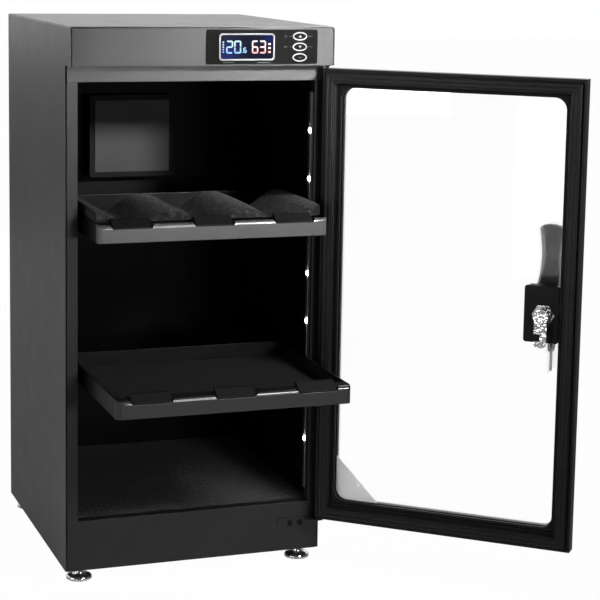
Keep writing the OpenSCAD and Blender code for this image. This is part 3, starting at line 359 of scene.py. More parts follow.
@dataclass(frozen=True)
class Crystal(Finish):
    """Face of the liquid crystal display, lit from its lower left and upper right corners."""

    centre: tuple[float, float, float]
    half: tuple[float, float]
    pools: tuple[tuple[float, float, float], ...] = ((-0.75, -0.5, 1.2), (0.95, 0.8, 0.8))

    def wire(self, graph: Graph) -> None:
        """Wires two blue pools of light on near black."""
        x, y, z = self.centre
        wide, tall = self.half
        lit = []
        for side, height, reach in self.pools:
            values = {0: graph.coords, 1: (x + side * wide, y, z + height * tall)}
            away = graph.node("VectorMath", values, operation="DISTANCE").outputs["Value"]
            values = {"Value": away, "From Min": reach * wide, "From Max": 0.0}
            lit.append(graph.node("MapRange", values).outputs["Result"])
        stops = [(0.0, (0.0, 0.0, 0.002)), (0.5, (0.001, 0.002, 0.01)), (1.0, (0.003, 0.014, 0.12))]
        colour = graph.ramp(graph.math("MAXIMUM", *lit), stops)
        rough = graph.span(graph.noise(700.0, 1.0), 0.08, 0.16)
        graph.set(Base_Color=(0.003, 0.003, 0.008, 1.0), Roughness=rough, Specular_IOR_Level=0.04)
        graph.set(Emission_Color=colour, Emission_Strength=1.0)


# The casing coat is the sheet's own grey. The header, rail, frame and door coats are darker copies of that one
# powder coat: painted shade for the light falling off over the front and the door.
CASING = PowderCoat("casing_coat", grey(0.088, 0.089), 0.3, 0.55, 0.006)
HEADER_SHADED_COAT = PowderCoat("header_coat_painted_shade", grey(0.05, 0.0503), 0.32, 0.2)
FRAME_SHADED_COAT = PowderCoat("frame_coat_painted_shade", grey(0.016, 0.0162), 0.32, 0.3)
RAIL_SHADED_COAT = PowderCoat("rail_coat_painted_shade", grey(0.055, 0.0554), 0.3, 0.24)
CHAMBER = PowderCoat("chamber_coat", grey(0.0028), 0.6, 0.08)
DOOR_SHADED_COAT = PowderCoat("door_coat_painted_shade", grey(0.006, 0.0062), 0.3, 0.26)
PAN_COAT = PowderCoat("pan_coat", grey(0.004, 0.0042), 0.3, 0.22)
# Both trays carry the same trim. The lower trim's finish is a darker copy of the upper one's: painted shade.
TRIM = Moulded("trim_satin", grey(0.08, 0.0815), 0.22, Grain.SMOOTH, 0.9, 0.012)
LOW_TRIM_SHADED = Moulded("low_trim_satin_painted_shade", grey(0.015, 0.0155), 0.22, Grain.SMOOTH, 0.9, 0.012)
DRYER_FACE = Moulded("dryer_face_grey", grey(0.034), 0.6, Grain.FINE, 0.1)
BLACK = Moulded("black_mould", grey(0.003), 0.4, Grain.FINE, 0.2)
GRIP = Moulded("grip_mould", grey(0.005), 0.24, Grain.SMOOTH, 0.36, 0.03)
FASCIA = Moulded("fascia_film", (0.003, 0.0027, 0.0027), 0.5, Grain.SMOOTH, 0.03)
SILVER = Moulded("bezel_silver", grey(0.26, 0.27), 0.35, Grain.SMOOTH, 0.2)
WHITE = Moulded("print_white", grey(0.3), 0.45, Grain.SMOOTH, 0.1)
FINE_PRINT = Moulded("print_grey", grey(0.09), 0.45, Grain.SMOOTH, 0.1)
IVORY = Moulded("sensor_ivory", grey(0.6, 0.57), 0.5, Grain.FINE, 0.4)
BOARD = Moulded("board_green", (0.03, 0.14, 0.05), 0.35, Grain.SMOOTH, 0.5)
CORNER = PowderCoat("corner_grey", grey(0.85), 0.4, 0.5)
CHROME = Plated("chrome", grey(0.84, 0.85), 0.05, 0.06)
CAM_PLATE = Plated("cam_chrome", grey(0.86, 0.87), 0.07, 0.1, 0.5)
ZINC = Plated("zinc_plate", grey(0.5, 0.51), 0.28, 0.2)
# Near-black plated steel: the own dark of the front screws, and painted shade on the key blades.
DARK_STEEL_AND_SHADE = Plated("dark_steel_and_painted_shade", grey(0.022), 0.2, 0.06)
SINK = Plated("sink_alloy", (0.7, 0.71, 0.73), 0.34, 0.15)
GASKET = Rubber("gasket_vinyl", grey(0.006, 0.0061), 0.34, 1.4, 0.26)
PAD = Rubber("pad_rubber", grey(0.003), 0.6, 1.4, 0.2)
MAT = Foam("mat_foam", grey(0.009), 2.8, 12.0, 0.5)
# The tray mat's foam is its own near black, made darker still as painted shadow over the lower tray's floor.
TRAY_MAT_SHADOWED = Foam("tray_mat_foam_painted_shadow", grey(0.002), 1.4, 12.0, 0.3, 0.03)
LENS_FOAM = Foam("lens_foam", grey(0.02), 1.6, 7.0, 0.9, 0.05)
GLASS = FloatGlass("door_glass")


def register(piece: bpy.types.Object, node: str) -> None:
    """Lets a piece stand for a CAD node and ride with its body."""
    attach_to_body(piece, BODY_OF[node])
    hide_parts(node)
    LOG.info("%s stands for %s", piece.name, node)


def attach(piece: bpy.types.Object, node: str) -> None:
    """Lets an added piece ride with a CAD node's body."""
    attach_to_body(piece, BODY_OF[node])
    LOG.info("%s rides with %s", piece.name, node)


def dress(node: str, finish: Finish) -> None:
    """Gives a carried-over CAD node its finish."""
    shown = frame["nodes"][node]
    shown.data.materials.clear()
    shown.data.materials.append(finish.material())
    LOG.info("%s dressed in %s", node, finish.name)


def put(name: str, mesh: bpy.types.Mesh, *finishes: Finish) -> bpy.types.Object:
    """Links a mesh as an object at the origin.

    Args:
        name: Name of the object.
        mesh: Its mesh.
        finishes: Finishes for its slots.

    Returns:
        The object.
    """
    for finish in finishes:
        mesh.materials.append(finish.material())
    made = bpy.data.objects.new(name, mesh)
    bpy.context.scene.collection.objects.link(made)
    return made


def baked(piece: bpy.types.Object) -> None:
    """Turns an object and its modifiers into a plain mesh."""
    graph = bpy.context.evaluated_depsgraph_get()
    mesh = bpy.data.meshes.new_from_object(piece.evaluated_get(graph))
    piece.modifiers.clear()
    piece.data = mesh


def from_bmesh(
    name: str, shape: bmesh.types.BMesh, *finishes: Finish, crease: float = 40.0
) -> bpy.types.Object:
    """Makes an object from a bmesh, smooth but for its sharp edges.

    Args:
        name: Name of the object.
        shape: The bmesh, which is freed.
        finishes: Finishes for the slots.
        crease: Angle in degrees past which an edge stays sharp.

    Returns:
        The object.
    """
    bmesh.ops.recalc_face_normals(shape, faces=shape.faces)
    limit = math.radians(crease)
    for face in shape.faces:
        face.smooth = True
    for edge in shape.edges:
        edge.smooth = len(edge.link_faces) == 2 and edge.calc_face_angle(0.0) < limit
    mesh = bpy.data.meshes.new(name)
    shape.to_mesh(mesh)
    shape.free()
    return put(name, mesh, *finishes)


def merged(node: str) -> bmesh.types.BMesh:
    """Copies a CAD node's loose triangles into one joined bmesh."""
    shape = bmesh.new()
    shape.from_mesh(frame["nodes"][node].data)
    bmesh.ops.remove_doubles(shape, verts=shape.verts, dist=0.002 * MM)
    bmesh.ops.dissolve_limit(shape, angle_limit=math.radians(0.6), verts=shape.verts, edges=shape.edges)
    return shape


def rounded(
    node: str, finish: Finish, width: float, segments: int = 2, angle: float = 38.0
) -> bpy.types.Object:
    """Replaces a CAD node by a copy whose edges are broken as the real piece's are.

    Args:
        node: Name of the CAD node.
        finish: Finish of the piece.
        width: Width of the broken edge in millimetres.
        segments: Steps across that edge.
        angle: Angle in degrees past which an edge is broken.

    Returns:
        The piece.
    """
    piece = from_bmesh(node + "_shell", merged(node), finish, crease=angle)
    if width > 0:
        bevel = piece.modifiers.new("edge", "BEVEL")
        bevel.width = width * MM
        bevel.segments = segments
        bevel.limit_method = "ANGLE"
        bevel.angle_limit = math.radians(angle)
        bevel.use_clamp_overlap = True
        bevel.harden_normals = False
        weighted = piece.modifiers.new("normals", "WEIGHTED_NORMAL")
        weighted.keep_sharp = False
        piece.data.polygons.foreach_set("use_smooth", [True] * len(piece.data.polygons))
        for edge in piece.data.edges:
            edge.use_edge_sharp = False
        baked(piece)
    register(piece, node)
    return piece


def bridge(
    shape: bmesh.types.BMesh, lower: Row, upper: Row, closed: bool = True
) -> list[bmesh.types.BMFace]:
    """Joins two rows of points with faces.

    Args:
        shape: The bmesh to add to.
        lower: First row.
        upper: Second row, as long as the first.
        closed: Whether the rows run round to their start.

    Returns:
        The new faces.
    """
    count = len(lower)
    pairs = [(i, (i + 1) % count) for i in range(count if closed else count - 1)]
    return [shape.faces.new((lower[i], lower[j], upper[j], upper[i])) for i, j in pairs]


def slab(shape: bmesh.types.BMesh, outline: Outline, y: float, thick: float, slot: int = 0) -> None:
    """Adds a plate drawn in X and Z that faces -Y.

    Args:
        shape: The bmesh to add to.
        outline: Corners in metres, in order.
        y: Front plane in metres.
        thick: Thickness in metres.
        slot: Index of the material slot.
    """
    front = [shape.verts.new((x, y, z)) for x, z in outline]
    back = [shape.verts.new((x, y + thick, z)) for x, z in outline]
    for face in [shape.faces.new(front), shape.faces.new(back[::-1]), *bridge(shape, back, front)]:
        face.material_index = slot


def strip(x0: float, x1: float, z: float, half: float) -> Outline:
    """Gives the outline of a level strip from x0 to x1 that reaches half above and below z."""
    return [(x0, z - half), (x1, z - half), (x1, z + half), (x0, z + half)]


def turns(count: int) -> list[float]:
    """Gives the angles of one whole turn in equal steps."""
    return [2 * math.pi * i / count for i in range(count)]


def ring(shape: bmesh.types.BMesh, centre: Vector, outer: float, inner: float) -> None:
    """Draws a flat printed ring that faces -Y.

    Args:
        shape: The bmesh to add to.
        centre: Its middle in metres.
        outer: Outer radius in metres.
        inner: Inner radius in metres.
    """
    rows = []
    for radius in (outer, inner):
        places = [centre + radius * Vector((math.cos(a), 0.0, math.sin(a))) for a in turns(16)]
        rows.append([shape.verts.new(place) for place in places])
    bridge(shape, *rows)


def size_of(node: str) -> tuple[Vector, Vector, Vector]:
    """Gives a CAD node's lowest corner, highest corner and middle."""
    low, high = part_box(node)
    return low, high, (low + high) / 2


class RepeatTree:
    """Geometry Nodes tree that sets copies of a seed mesh along a straight run."""

    def __init__(self) -> None:
        """Builds the tree and keeps its inputs by name."""
        tree = bpy.data.node_groups.new("repeat_along_line", "GeometryNodeTree")
        self.tree = tree
        face = tree.interface
        face.new_socket("Geometry", in_out="OUTPUT", socket_type="NodeSocketGeometry")
        face.new_socket("Seed piece", in_out="INPUT", socket_type="NodeSocketGeometry")
        kinds = {"Count": "Int", "Start": "Vector", "Step": "Vector", "Material": "Material"}
        self.sockets = {
            label: face.new_socket(label, in_out="INPUT", socket_type="NodeSocket" + kind)
            for label, kind in kinds.items()}
        nodes, link = tree.nodes, tree.links.new
        start, end = nodes.new("NodeGroupInput"), nodes.new("NodeGroupOutput")
        line = nodes.new("GeometryNodeMeshLine")
        spread = nodes.new("GeometryNodeInstanceOnPoints")
        real = nodes.new("GeometryNodeRealizeInstances")
        paint = nodes.new("GeometryNodeSetMaterial")
        link(start.outputs["Count"], line.inputs["Count"])
        link(start.outputs["Start"], line.inputs["Start Location"])
        link(start.outputs["Step"], line.inputs["Offset"])
        link(line.outputs[0], spread.inputs["Points"])
        link(start.outputs["Seed piece"], spread.inputs["Instance"])
        link(spread.outputs[0], real.inputs[0])
        link(real.outputs[0], paint.inputs["Geometry"])
        link(start.outputs["Material"], paint.inputs["Material"])
        link(paint.outputs[0], end.inputs[0])

    def lay(
        self, piece: bpy.types.Object, count: int, start: Vector, step: Vector, finish: Finish
    ) -> None:
        """Turns a piece into baked copies of its own mesh.

        Args:
            piece: Object whose mesh is the seed, drawn round the origin.
            count: Number of copies.
            start: Place of the first copy.
            step: Offset from one copy to the next.
            finish: Finish of the copies.
        """
        modifier = piece.modifiers.new("copies", "NODES")
        modifier.node_group = self.tree
        values = {"Count": count, "Start": tuple(start), "Step": tuple(step), "Material": finish.material()}
        for label, value in values.items():
            modifier[self.sockets[label].identifier] = value
        baked(piece)


@lru_cache(maxsize=None)
def repeats() -> RepeatTree:
    """Gives the one tree that lays repeats."""
    return RepeatTree()


def hoop(name: str, radius: float, wire: float) -> bpy.types.Object:
    """Makes a hoop round the origin as the seed of a thread.

    Args:
        name: Name of the object.
        radius: Radius of the hoop in metres.
        wire: Radius of its section in metres.

    Returns:
        The seed.
    """
    shape = bmesh.new()
    rows = []
    for a in turns(40):
        row = []
        for b in turns(6):
            r = radius + wire * math.cos(b)
            row.append(shape.verts.new((r * math.cos(a), r * math.sin(a), wire * math.sin(b))))
        rows.append(row)
    for row, following in zip(rows, rows[1:] + rows[:1]):
        bridge(shape, row, following)
    return from_bmesh(name, shape, ZINC, crease=80.0)


def repaint(piece: bpy.types.Object, finish: Finish, chosen: Callable[[Vector, Vector], bool]) -> None:
    """Gives some of a piece's faces another finish.

    Args:
        piece: The piece.
        finish: The other finish.
        chosen: Says of a face's centre and normal whether it is repainted.
    """
    piece.data.materials.append(finish.material())
    index = len(piece.data.materials) - 1
    for face in piece.data.polygons:
        if chosen(face.center, face.normal):
            face.material_index = index


@dataclass
class Casing:
    """The folded casing, the front frame and the back, with sizes in millimetres."""

    edge: float = 0.45
    header_edge: float = 0.7
    plate_edge: float = 0.25
    lining: float = 0.6
    flange: float = 3.0

    def build(self) -> None:
        """Breaks the sheet edges, dresses the sheet parts and blackens what lines the chamber."""
        wrap = rounded("casing_wrap", CASING, self.edge)
        low, high, mid = size_of("casing_wrap")
        front = low.y + self.flange * MM
        top = high.z - self.lining * MM
        half = (high.x - low.x) / 2 - self.lining * MM
        repaint(wrap, CHAMBER, lambda at, _: at.y > front and abs(at.x - mid.x) < half and at.z < top)
        back = rounded("back_panel", CASING, 0.0)
        repaint(back, CHAMBER, lambda _, normal: normal.y < -0.5)
        # Header, rail, stiles, kick and hinge plates take darker copies of the casing coat: painted shade.
        rounded("header_panel", HEADER_SHADED_COAT, self.header_edge, 3)
        rounded("top_rail", RAIL_SHADED_COAT, self.edge)
        for node in ("stile_left", "stile_right", "kick_panel"):
            rounded(node, FRAME_SHADED_COAT, self.edge)
        rounded("hinge_plates", FRAME_SHADED_COAT, self.plate_edge)
        screws = rounded("case_screws", ZINC, 0.0)
        repaint(screws, DARK_STEEL_AND_SHADE, lambda at, _: at.y < mid.y)
        dress("base_pan", CASING)
        dress("dc_inlet", BLACK)


@dataclass
class Chamber:
    """Floor, ceiling, standards, rails, dehumidifier and lamps, with sizes in millimetres."""

    chip_pitch: float = 9.7
    chip: tuple[float, float, float] = (0.7, 1.6, 1.1)
    chip_edge: float = 0.12
    chip_place: tuple[float, float, float] = (-0.3, 2.7, 5.0)
    lens_half: float = 2.9
    lens_proud: float = 1.7
    lens_rings: int = 5
    lens_steps: int = 20
    lamp_strength: float = 26.0

    def build(self) -> None:
        """Dresses the chamber and adds its small parts."""
        for node in ("chamber_floor", "ceiling_panel"):
            dress(node, CHAMBER)
        for node in ("rails_upper", "rails_lower", "shelf_standards"):
            rounded(node, CHAMBER, 0.2, 1)
        rounded("dryer_housing", CHAMBER, 0.9, 3)
        rounded("dryer_face_plate", DRYER_FACE, 0.4)
        dress("dryer_heat_sink", SINK)
        rounded("humidity_sensor", IVORY, 0.3)
        FoamSheet("floor_mat_foam", "floor_mat", MAT).build()
        rounded("led_channel", GRIP, 0.3)
        rounded("led_strip", WHITE, 0.1, 1)
        self.lenses()
        self.chips()

    def chips(self) -> None:
        """Lays the small chips along the lamp strip."""
        low, high, mid = size_of("led_strip")
        count = int((high.z - low.z) / (self.chip_pitch * MM)) - 1
        seed = bmesh.new()
        bmesh.ops.create_cube(seed, size=1.0)
        bmesh.ops.scale(seed, vec=Vector(self.chip) * MM, verts=seed.verts)
        bmesh.ops.bevel(seed, geom=seed.edges[:], offset=self.chip_edge * MM, segments=1, affect="EDGES")
        chips = from_bmesh("led_strip_chips", seed, BLACK)
        start = Vector((low.x, mid.y, low.z)) + Vector(self.chip_place) * MM
        repeats().lay(chips, count, start, Vector((0, 0, self.chip_pitch * MM)), BLACK)
        attach(chips, "led_strip")

    def lenses(self) -> None:
        """Makes the six lamps as lit, domed lenses that face the chamber."""
        low, high, mid = size_of("led_lamps")
        source = merged("led_lamps")
        facing = [face for face in source.faces if face.normal.x < -0.5]
        heights = sorted({round(face.calc_center_median().z, 4) for face in facing})
        source.free()
        wide, tall, proud = (high.y - low.y) / 2, self.lens_half * MM, self.lens_proud * MM
        shape = bmesh.new()
        for z in heights:
            rows = []
            for i in range(self.lens_rings + 1):
                a = math.pi / 2 * i / self.lens_rings
                x, across, up = low.x - proud * math.sin(a), wide * math.cos(a), tall * math.cos(a)
                places = [(x, mid.y + across * math.cos(b), z + up * math.sin(b))
                          for b in turns(self.lens_steps)]
                rows.append([shape.verts.new(place) for place in places])
            foot = [shape.verts.new((high.x, vert.co.y, vert.co.z)) for vert in rows[0]]
            for lower, upper in zip([foot, *rows], rows):
                bridge(shape, lower, upper)
            shape.faces.new(foot)
        bmesh.ops.remove_doubles(shape, verts=shape.verts, dist=0.001 * MM)
        glow = Glow("lamp_glow", (1.0, 0.98, 0.95), (1.0, 0.99, 0.97), self.lamp_strength, low.z, high.z)
        register(from_bmesh("led_lenses", shape, glow), "led_lamps")


@dataclass
class FoamSheet:
    """A foam sheet with soft edges and an uneven top that fills a CAD node, with sizes in millimetres."""

    name: str
    node: str
    finish: Finish
    step: float = 7.0
    swell: float = 0.35
    waves: float = 45.0
    inset_share: float = 0.45
    shoulder_share: float = 0.55

    def build(self) -> None:
        """Makes the sheet from two grids of points and the rim between them."""
        low, high, _ = size_of(self.node)
        nx, ny = (max(4, int((high[i] - low[i]) / (self.step * MM))) for i in (0, 1))
        shape = bmesh.new()

        def sheet(inset: float, z: float, swell: float) -> list[Row]:
            """Lays one grid of points, drawn in by inset at height z."""
            grid = []
            for i in range(nx + 1):
                x = low.x + inset + (high.x - low.x - 2 * inset) * i / nx
                row = []
                for j in range(ny + 1):
                    y = low.y + inset + (high.y - low.y - 2 * inset) * j / ny
                    lift = swell * (noise.noise(Vector((x, y, 0.3)) * self.waves) - 0.6)
                    row.append(shape.verts.new((x, y, z + min(0.0, lift))))
                grid.append(row)
            return grid

        def rim(grid: list[Row]) -> Row:
            """Lists a grid's outer points in order."""
            near, far = [row[0] for row in grid], [row[ny] for row in grid[nx - 1::-1]]
            return near + grid[nx][1:] + far + grid[0][ny - 1:0:-1]

        top = sheet(self.inset_share * (high.z - low.z), high.z, self.swell * MM)
        base = sheet(0.0, low.z, 0.0)
        for i in range(nx):
            bridge(shape, top[i], top[i + 1], closed=False)
            bridge(shape, base[i + 1], base[i], closed=False)
        upper, lower = rim(top), rim(base)
        shoulder = []
        for over, under in zip(upper, lower):
            z = under.co.z + self.shoulder_share * (over.co.z - under.co.z)
            shoulder.append(shape.verts.new((under.co.x, under.co.y, z)))
        bridge(shape, lower, shoulder)
        bridge(shape, shoulder, upper)
        piece = from_bmesh(self.name, shape, self.finish, crease=70.0)
        register(piece, self.node)


@dataclass(frozen=True)
class Figure:
    """One lit figure: its place and size as shares of the bezel, and its stroke in millimetres."""

    digit: Digit
    left: float
    width: float
    warm: bool = False
    foot: float = 0.0
    tall: float = 0.475
    stroke: float = 1.3


@dataclass(frozen=True)
class Ladder:
    """A column of lit dashes: shares of the bezel's width and of a figure's height, then millimetres."""

    left: float
    foot: float
    step: float
    count: int
    half_x: float
    half_z: float
    slot: int


@dataclass
class Controls:
    """Fascia, display and buttons in the header, with sizes in millimetres."""

    foot_share: float = 0.26
    painted_halo_spread: float = 1.7
    painted_halo_lift: float = 0.04
    core_lift: float = 0.08
    film: float = 0.03
    print_lift: float = 0.06
    ink: float = 0.05
    fine_ink: float = 0.04
    row_share: float = 0.356
    figures: tuple[Figure, ...] = (
        Figure(Digit.TWO, 0.125, 0.122), Figure(Digit.ZERO, 0.268, 0.126),
        Figure(Digit.SIX, 0.587, 0.115, True), Figure(Digit.THREE, 0.72, 0.12, True),
        Figure(Digit.SIX, 0.43, 0.062, False, 0.02, 0.2, 1.0))
    ladders: tuple[Ladder, ...] = (
        Ladder(0.411, 0.0421, 0.0, 1, 0.4, 0.4, 1), Ladder(0.072, 0.06, 0.19, 5, 0.8, 0.75, 1),
        Ladder(0.905, 0.04, 0.31, 3, 1.5, 1.05, 3))

    def build(self) -> None:
        """Dresses the fascia, lights the display and marks the buttons."""
        rounded("control_fascia", FASCIA, 0.35)
        rounded("display_bezel", SILVER, 0.35, 3)
        low, high, mid = size_of("display_window")
        half = ((high.x - low.x) / 2, (high.z - low.z) / 2)
        rounded("display_window", Crystal("display_crystal", tuple(mid), half), 0.2, 1)
        dress("display_module", BLACK)
        dress("button_rings", WHITE)
        dress("control_board", BOARD)
        for node in ("button_up", "button_down", "button_set"):
            rounded(node, FASCIA, 0.3)
        self.display()
        self.arrows()
        self.dots()
        self.prints()

    def bars(self, x: float, z: float, wide: float, tall: float, stroke: float) -> list[Outline]:
        """Gives the outlines of a figure's seven bars.

        Args:
            x: Left end in metres.
            z: Foot in metres.
            wide: Width in metres.
            tall: Height in metres.
            stroke: Thickness of a bar in metres.

        Returns:
            One outline for each bar, in the order of Digit.
        """
        s, gap = stroke / 2, stroke * 0.12
        left, right, low, high, mid = x + s, x + wide - s, z + s, z + tall - s, z + tall / 2

        def flat(z0: float) -> Outline:
            """Draws a level bar at height z0."""
            a, b = left + gap, right - gap
            return [(a, z0), (a + s, z0 - s), (b - s, z0 - s), (b, z0), (b - s, z0 + s), (a + s, z0 + s)]

        def upright(x0: float, z0: float, z1: float) -> Outline:
            """Draws an upright bar between two heights."""
            a, b = z0 + gap, z1 - gap
            return [(x0, a), (x0 + s, a + s), (x0 + s, b - s), (x0, b), (x0 - s, b - s), (x0 - s, a + s)]

        return [flat(high), upright(left, mid, high), upright(right, mid, high), flat(mid),
                upright(left, low, mid), upright(right, low, mid), flat(low)]

    def display(self) -> None:
        """Draws the lit figures, a temperature on the left and a humidity on the right, each bar with a painted
        glow round it, and the dashes.
        """
        low, high, _ = size_of("display_bezel")
        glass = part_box("display_window")[0].y
        wide, tall = high.x - low.x, high.z - low.z
        foot, figure = low.z + self.foot_share * tall, self.figures[0].tall * tall
        shape = bmesh.new()
        for lit in self.figures:
            x, z = low.x + lit.left * wide, foot + lit.foot * tall
            # Each lit bar gets a wider, dimmer lit bar behind it: a painted glow of light round the figure.
            strokes = (lit.stroke * self.painted_halo_spread * MM, lit.stroke * MM)
            halo, core = (self.bars(x, z, lit.width * wide, lit.tall * tall, stroke) for stroke in strokes)
            slot = 2 if lit.warm else 0
            for on, outer, inner in zip(lit.digit.value, halo, core):
                if on:
                    slab(shape, outer, glass - self.painted_halo_lift * MM, self.film * MM, slot)
                    slab(shape, inner, glass - self.core_lift * MM, self.film * MM, slot + 1)
        for row in self.ladders:
            x, half_x, half_z = low.x + row.left * wide, row.half_x * MM, row.half_z * MM
            for k in range(row.count):
                z = foot + (row.foot + row.step * k) * figure + half_z
                dash = strip(x - half_x, x + half_x, z, half_z)
                slab(shape, dash, glass - self.core_lift * MM, self.film * MM, row.slot)
        glows = [Glow("figures_" + name, dark, light, 1.0, foot, foot + figure) for name, dark, light in (
            ("cold_painted_halo", (0.0, 0.05, 0.5), (0.005, 0.14, 0.62)),
            ("cold", (0.05, 0.4, 1.0), (0.5, 0.86, 1.0)),
            ("warm_painted_halo", (0.42, 0.02, 0.01), (0.24, 0.04, 0.04)),
            ("warm", (1.0, 0.36, 0.28), (1.0, 0.86, 0.84)))]
        attach(from_bmesh("display_figures", shape, *glows), "display_window")

    def arrows(self) -> None:
        """Prints an arrow on each of the two upper buttons."""
        for node, turn in (("button_up", 1), ("button_down", -1)):
            low, _, mid = size_of(node)
            shape = bmesh.new()
            half = 1.9 * MM
            tip, base = mid.z + turn * 1.5 * MM, mid.z - turn * 1.3 * MM
            outline = [(mid.x - half, base), (mid.x + half, base), (mid.x, tip)]
            y = low.y - self.print_lift * MM
            slab(shape, outline if turn > 0 else outline[::-1], y, self.ink * MM)
            attach(from_bmesh(node + "_print", shape, WHITE), node)

    def dots(self) -> None:
        """Prints three small rings on the lowest button."""
        low, _, mid = size_of("button_set")
        shape = bmesh.new()
        for x in (-1.7, 0.0, 1.7):
            centre = Vector((mid.x + x * MM, low.y - self.print_lift * MM, mid.z))
            ring(shape, centre, 0.62 * MM, 0.2 * MM)
        attach(from_bmesh("button_set_print", shape, FINE_PRINT), "button_set")

    def prints(self) -> None:
        """Prints the fine leader lines and the lamp sign on the fascia."""
        low, high, mid = size_of("button_rings")
        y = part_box("control_fascia")[0].y - self.ink * MM
        shape = bmesh.new()

        def dash(middle: float, x0: float, x1: float, z: float, half: float) -> None:
            """Prints a level dash from x0 to x1, in millimetres from a middle."""
            slab(shape, strip(middle + x0 * MM, middle + x1 * MM, z, half * MM), y, self.fine_ink * MM)

        pitch = (high.z - low.z) * self.row_share
        for k in (1, 0):
            for x0, x1 in ((-12.6, -9.8), (10.2, 15.6)):
                dash(mid.x, x0, x1, mid.z + k * pitch, 0.2)
        sign = Vector((mid.x - 17.6 * MM, y, mid.z + pitch))
        ring(shape, sign, 0.95 * MM, 0.65 * MM)
        near, far, w = 1.3 * MM, 2.0 * MM, 0.1 * MM
        for c, s in ((math.cos(a), math.sin(a)) for a in turns(8)):
            ray = [(near * c + w * s, near * s - w * c), (far * c + w * s, far * s - w * c),
                   (far * c - w * s, far * s + w * c), (near * c - w * s, near * s + w * c)]
            slab(shape, [(sign.x + x, sign.z + z) for x, z in ray], y, self.fine_ink * MM)
        dash(mid.x, -19.5, -15.5, mid.z, 0.4)
        low, _, bezel = size_of("display_bezel")
        for x0, x1 in ((-29.0, -14.5), (12.5, 29.0)):
            dash(bezel.x, x0, x1, low.z - 2.4 * MM, 0.3)
        attach(from_bmesh("fascia_prints", shape, FINE_PRINT), "control_fascia")


@dataclass
class Door:
    """The door leaf with its glass, gasket, handle and lock, with sizes in millimetres."""

    blade: float = 22.6

    def build(self) -> None:
        """Dresses the leaf, the handle and the lock."""
        # The leaf takes a darker copy of the casing coat: painted shade.
        rounded("door_frame", DOOR_SHADED_COAT, 0.7, 3)
        rounded("glass_retainer", BLACK, 0.9, 3)
        dress("door_glass", GLASS)
        rounded("door_gasket", GASKET, 0.25, 2, 30.0)
        rounded("corner_plate", CORNER, 0.15, 1)
        rounded("lock_backing_plate", BLACK, 0.7, 3)
        rounded("handle_base", GRIP, 0.9, 3)
        rounded("handle_grip", GRIP, 1.7, 4, 50.0)
        self.lock()

    def lock(self) -> None:
        """Dresses the lock, the keys and their ring."""
        for node, width in (("lock_body", 0.35), ("lock_nut", 0.9), ("lock_cylinder", 0.25)):
            rounded(node, CHROME, width, 4)
        rounded("lock_cam", CAM_PLATE, 0.45, 4)
        rounded("key_ring", CHROME, 0.0)
        pull = next(joint for joint in frame["joints"] if joint["name"] == "key_pull")
        self.key("key", Vector(pull["axis"]))
        self.key("spare_key", Vector((0.0, 0.0, 1.0)))

    def key(self, node: str, axis: Vector) -> None:
        """Dresses a key: moulded bow and plated blade, whose steel is made near black as painted shade.

        Args:
            node: Name of the key's CAD node.
            axis: Direction from the blade's tip to the bow.
        """
        mesh = rounded(node, BLACK, 0.35).data
        mesh.materials.append(DARK_STEEL_AND_SHADE.material())
        reach = [axis.dot(vertex.co) for vertex in mesh.vertices]
        end = min(reach) + self.blade * MM
        for face in mesh.polygons:
            if max(reach[i] for i in face.vertices) < end:
                face.material_index = 1


@dataclass
class Tray:
    """One pull-out tray."""

    level: str
    trim: Finish

    def build(self) -> None:
        """Dresses the pan, the trim and the pads."""
        rounded(f"tray_{self.level}_pan", PAN_COAT, 0.35)
        rounded(f"tray_{self.level}_trim", self.trim, 0.8, 3)
        rounded(f"tray_{self.level}_pads", PAD, 0.4, 3)


@dataclass
class LensFoam:
    """The waved foam of the upper tray, with sizes in millimetres."""

    cradles: int = 3
    drop: float = 24.0
    sharpness: float = 1.3
    crest_steps: int = 90
    depth_steps: int = 26
    dip_share: float = 0.06
    dip_rate: float = 14.0
    nap: float = 0.35

    def build(self) -> None:
        """Makes the foam with its soft waves."""
        low, high, _ = size_of("lens_foam")
        shape = bmesh.new()
        grid = []
        for x, z in self.crest(low, high):
            row = []
            for t in (j / self.depth_steps for j in range(self.depth_steps + 1)):
                y = low.y + (high.y - low.y) * t
                ends = math.exp(-self.dip_rate * t) + math.exp(-self.dip_rate * (1 - t))
                soft = 1.0 - self.dip_share * ends
                rough = self.nap * MM * (noise.noise(Vector((x, y, z)) * 120.0) - 0.5)
                row.append(shape.verts.new((x, y, low.z + (z - low.z) * soft + rough)))
            grid.append(row)
        floor = [[shape.verts.new((vert.co.x, vert.co.y, low.z)) for vert in row] for row in grid]
        for i in range(self.crest_steps):
            bridge(shape, grid[i], grid[i + 1], closed=False)
            bridge(shape, floor[i + 1], floor[i], closed=False)
        bridge(shape, grid[0], floor[0], closed=False)
        bridge(shape, floor[-1], grid[-1], closed=False)
        bridge(shape, [row[0] for row in floor], [row[0] for row in grid], closed=False)
        bridge(shape, [row[-1] for row in grid], [row[-1] for row in floor], closed=False)
        piece = from_bmesh("lens_foam_block", shape, LENS_FOAM, crease=50.0)
        register(piece, "lens_foam")

    def crest(self, low: Vector, high: Vector) -> Outline:
        """Gives the foam's crest, three cradles between four crests.

        Args:
            low: Lowest corner of the foam.
            high: Its highest corner.

        Returns:
            Points in metres from left to right.
        """
        points = []
        for t in (i / self.crest_steps for i in range(self.crest_steps + 1)):
            wave = abs(math.cos(math.pi * self.cradles * t)) ** self.sharpness
            points.append((low.x + (high.x - low.x) * t, high.z - self.drop * MM * (1 - wave)))
        return points


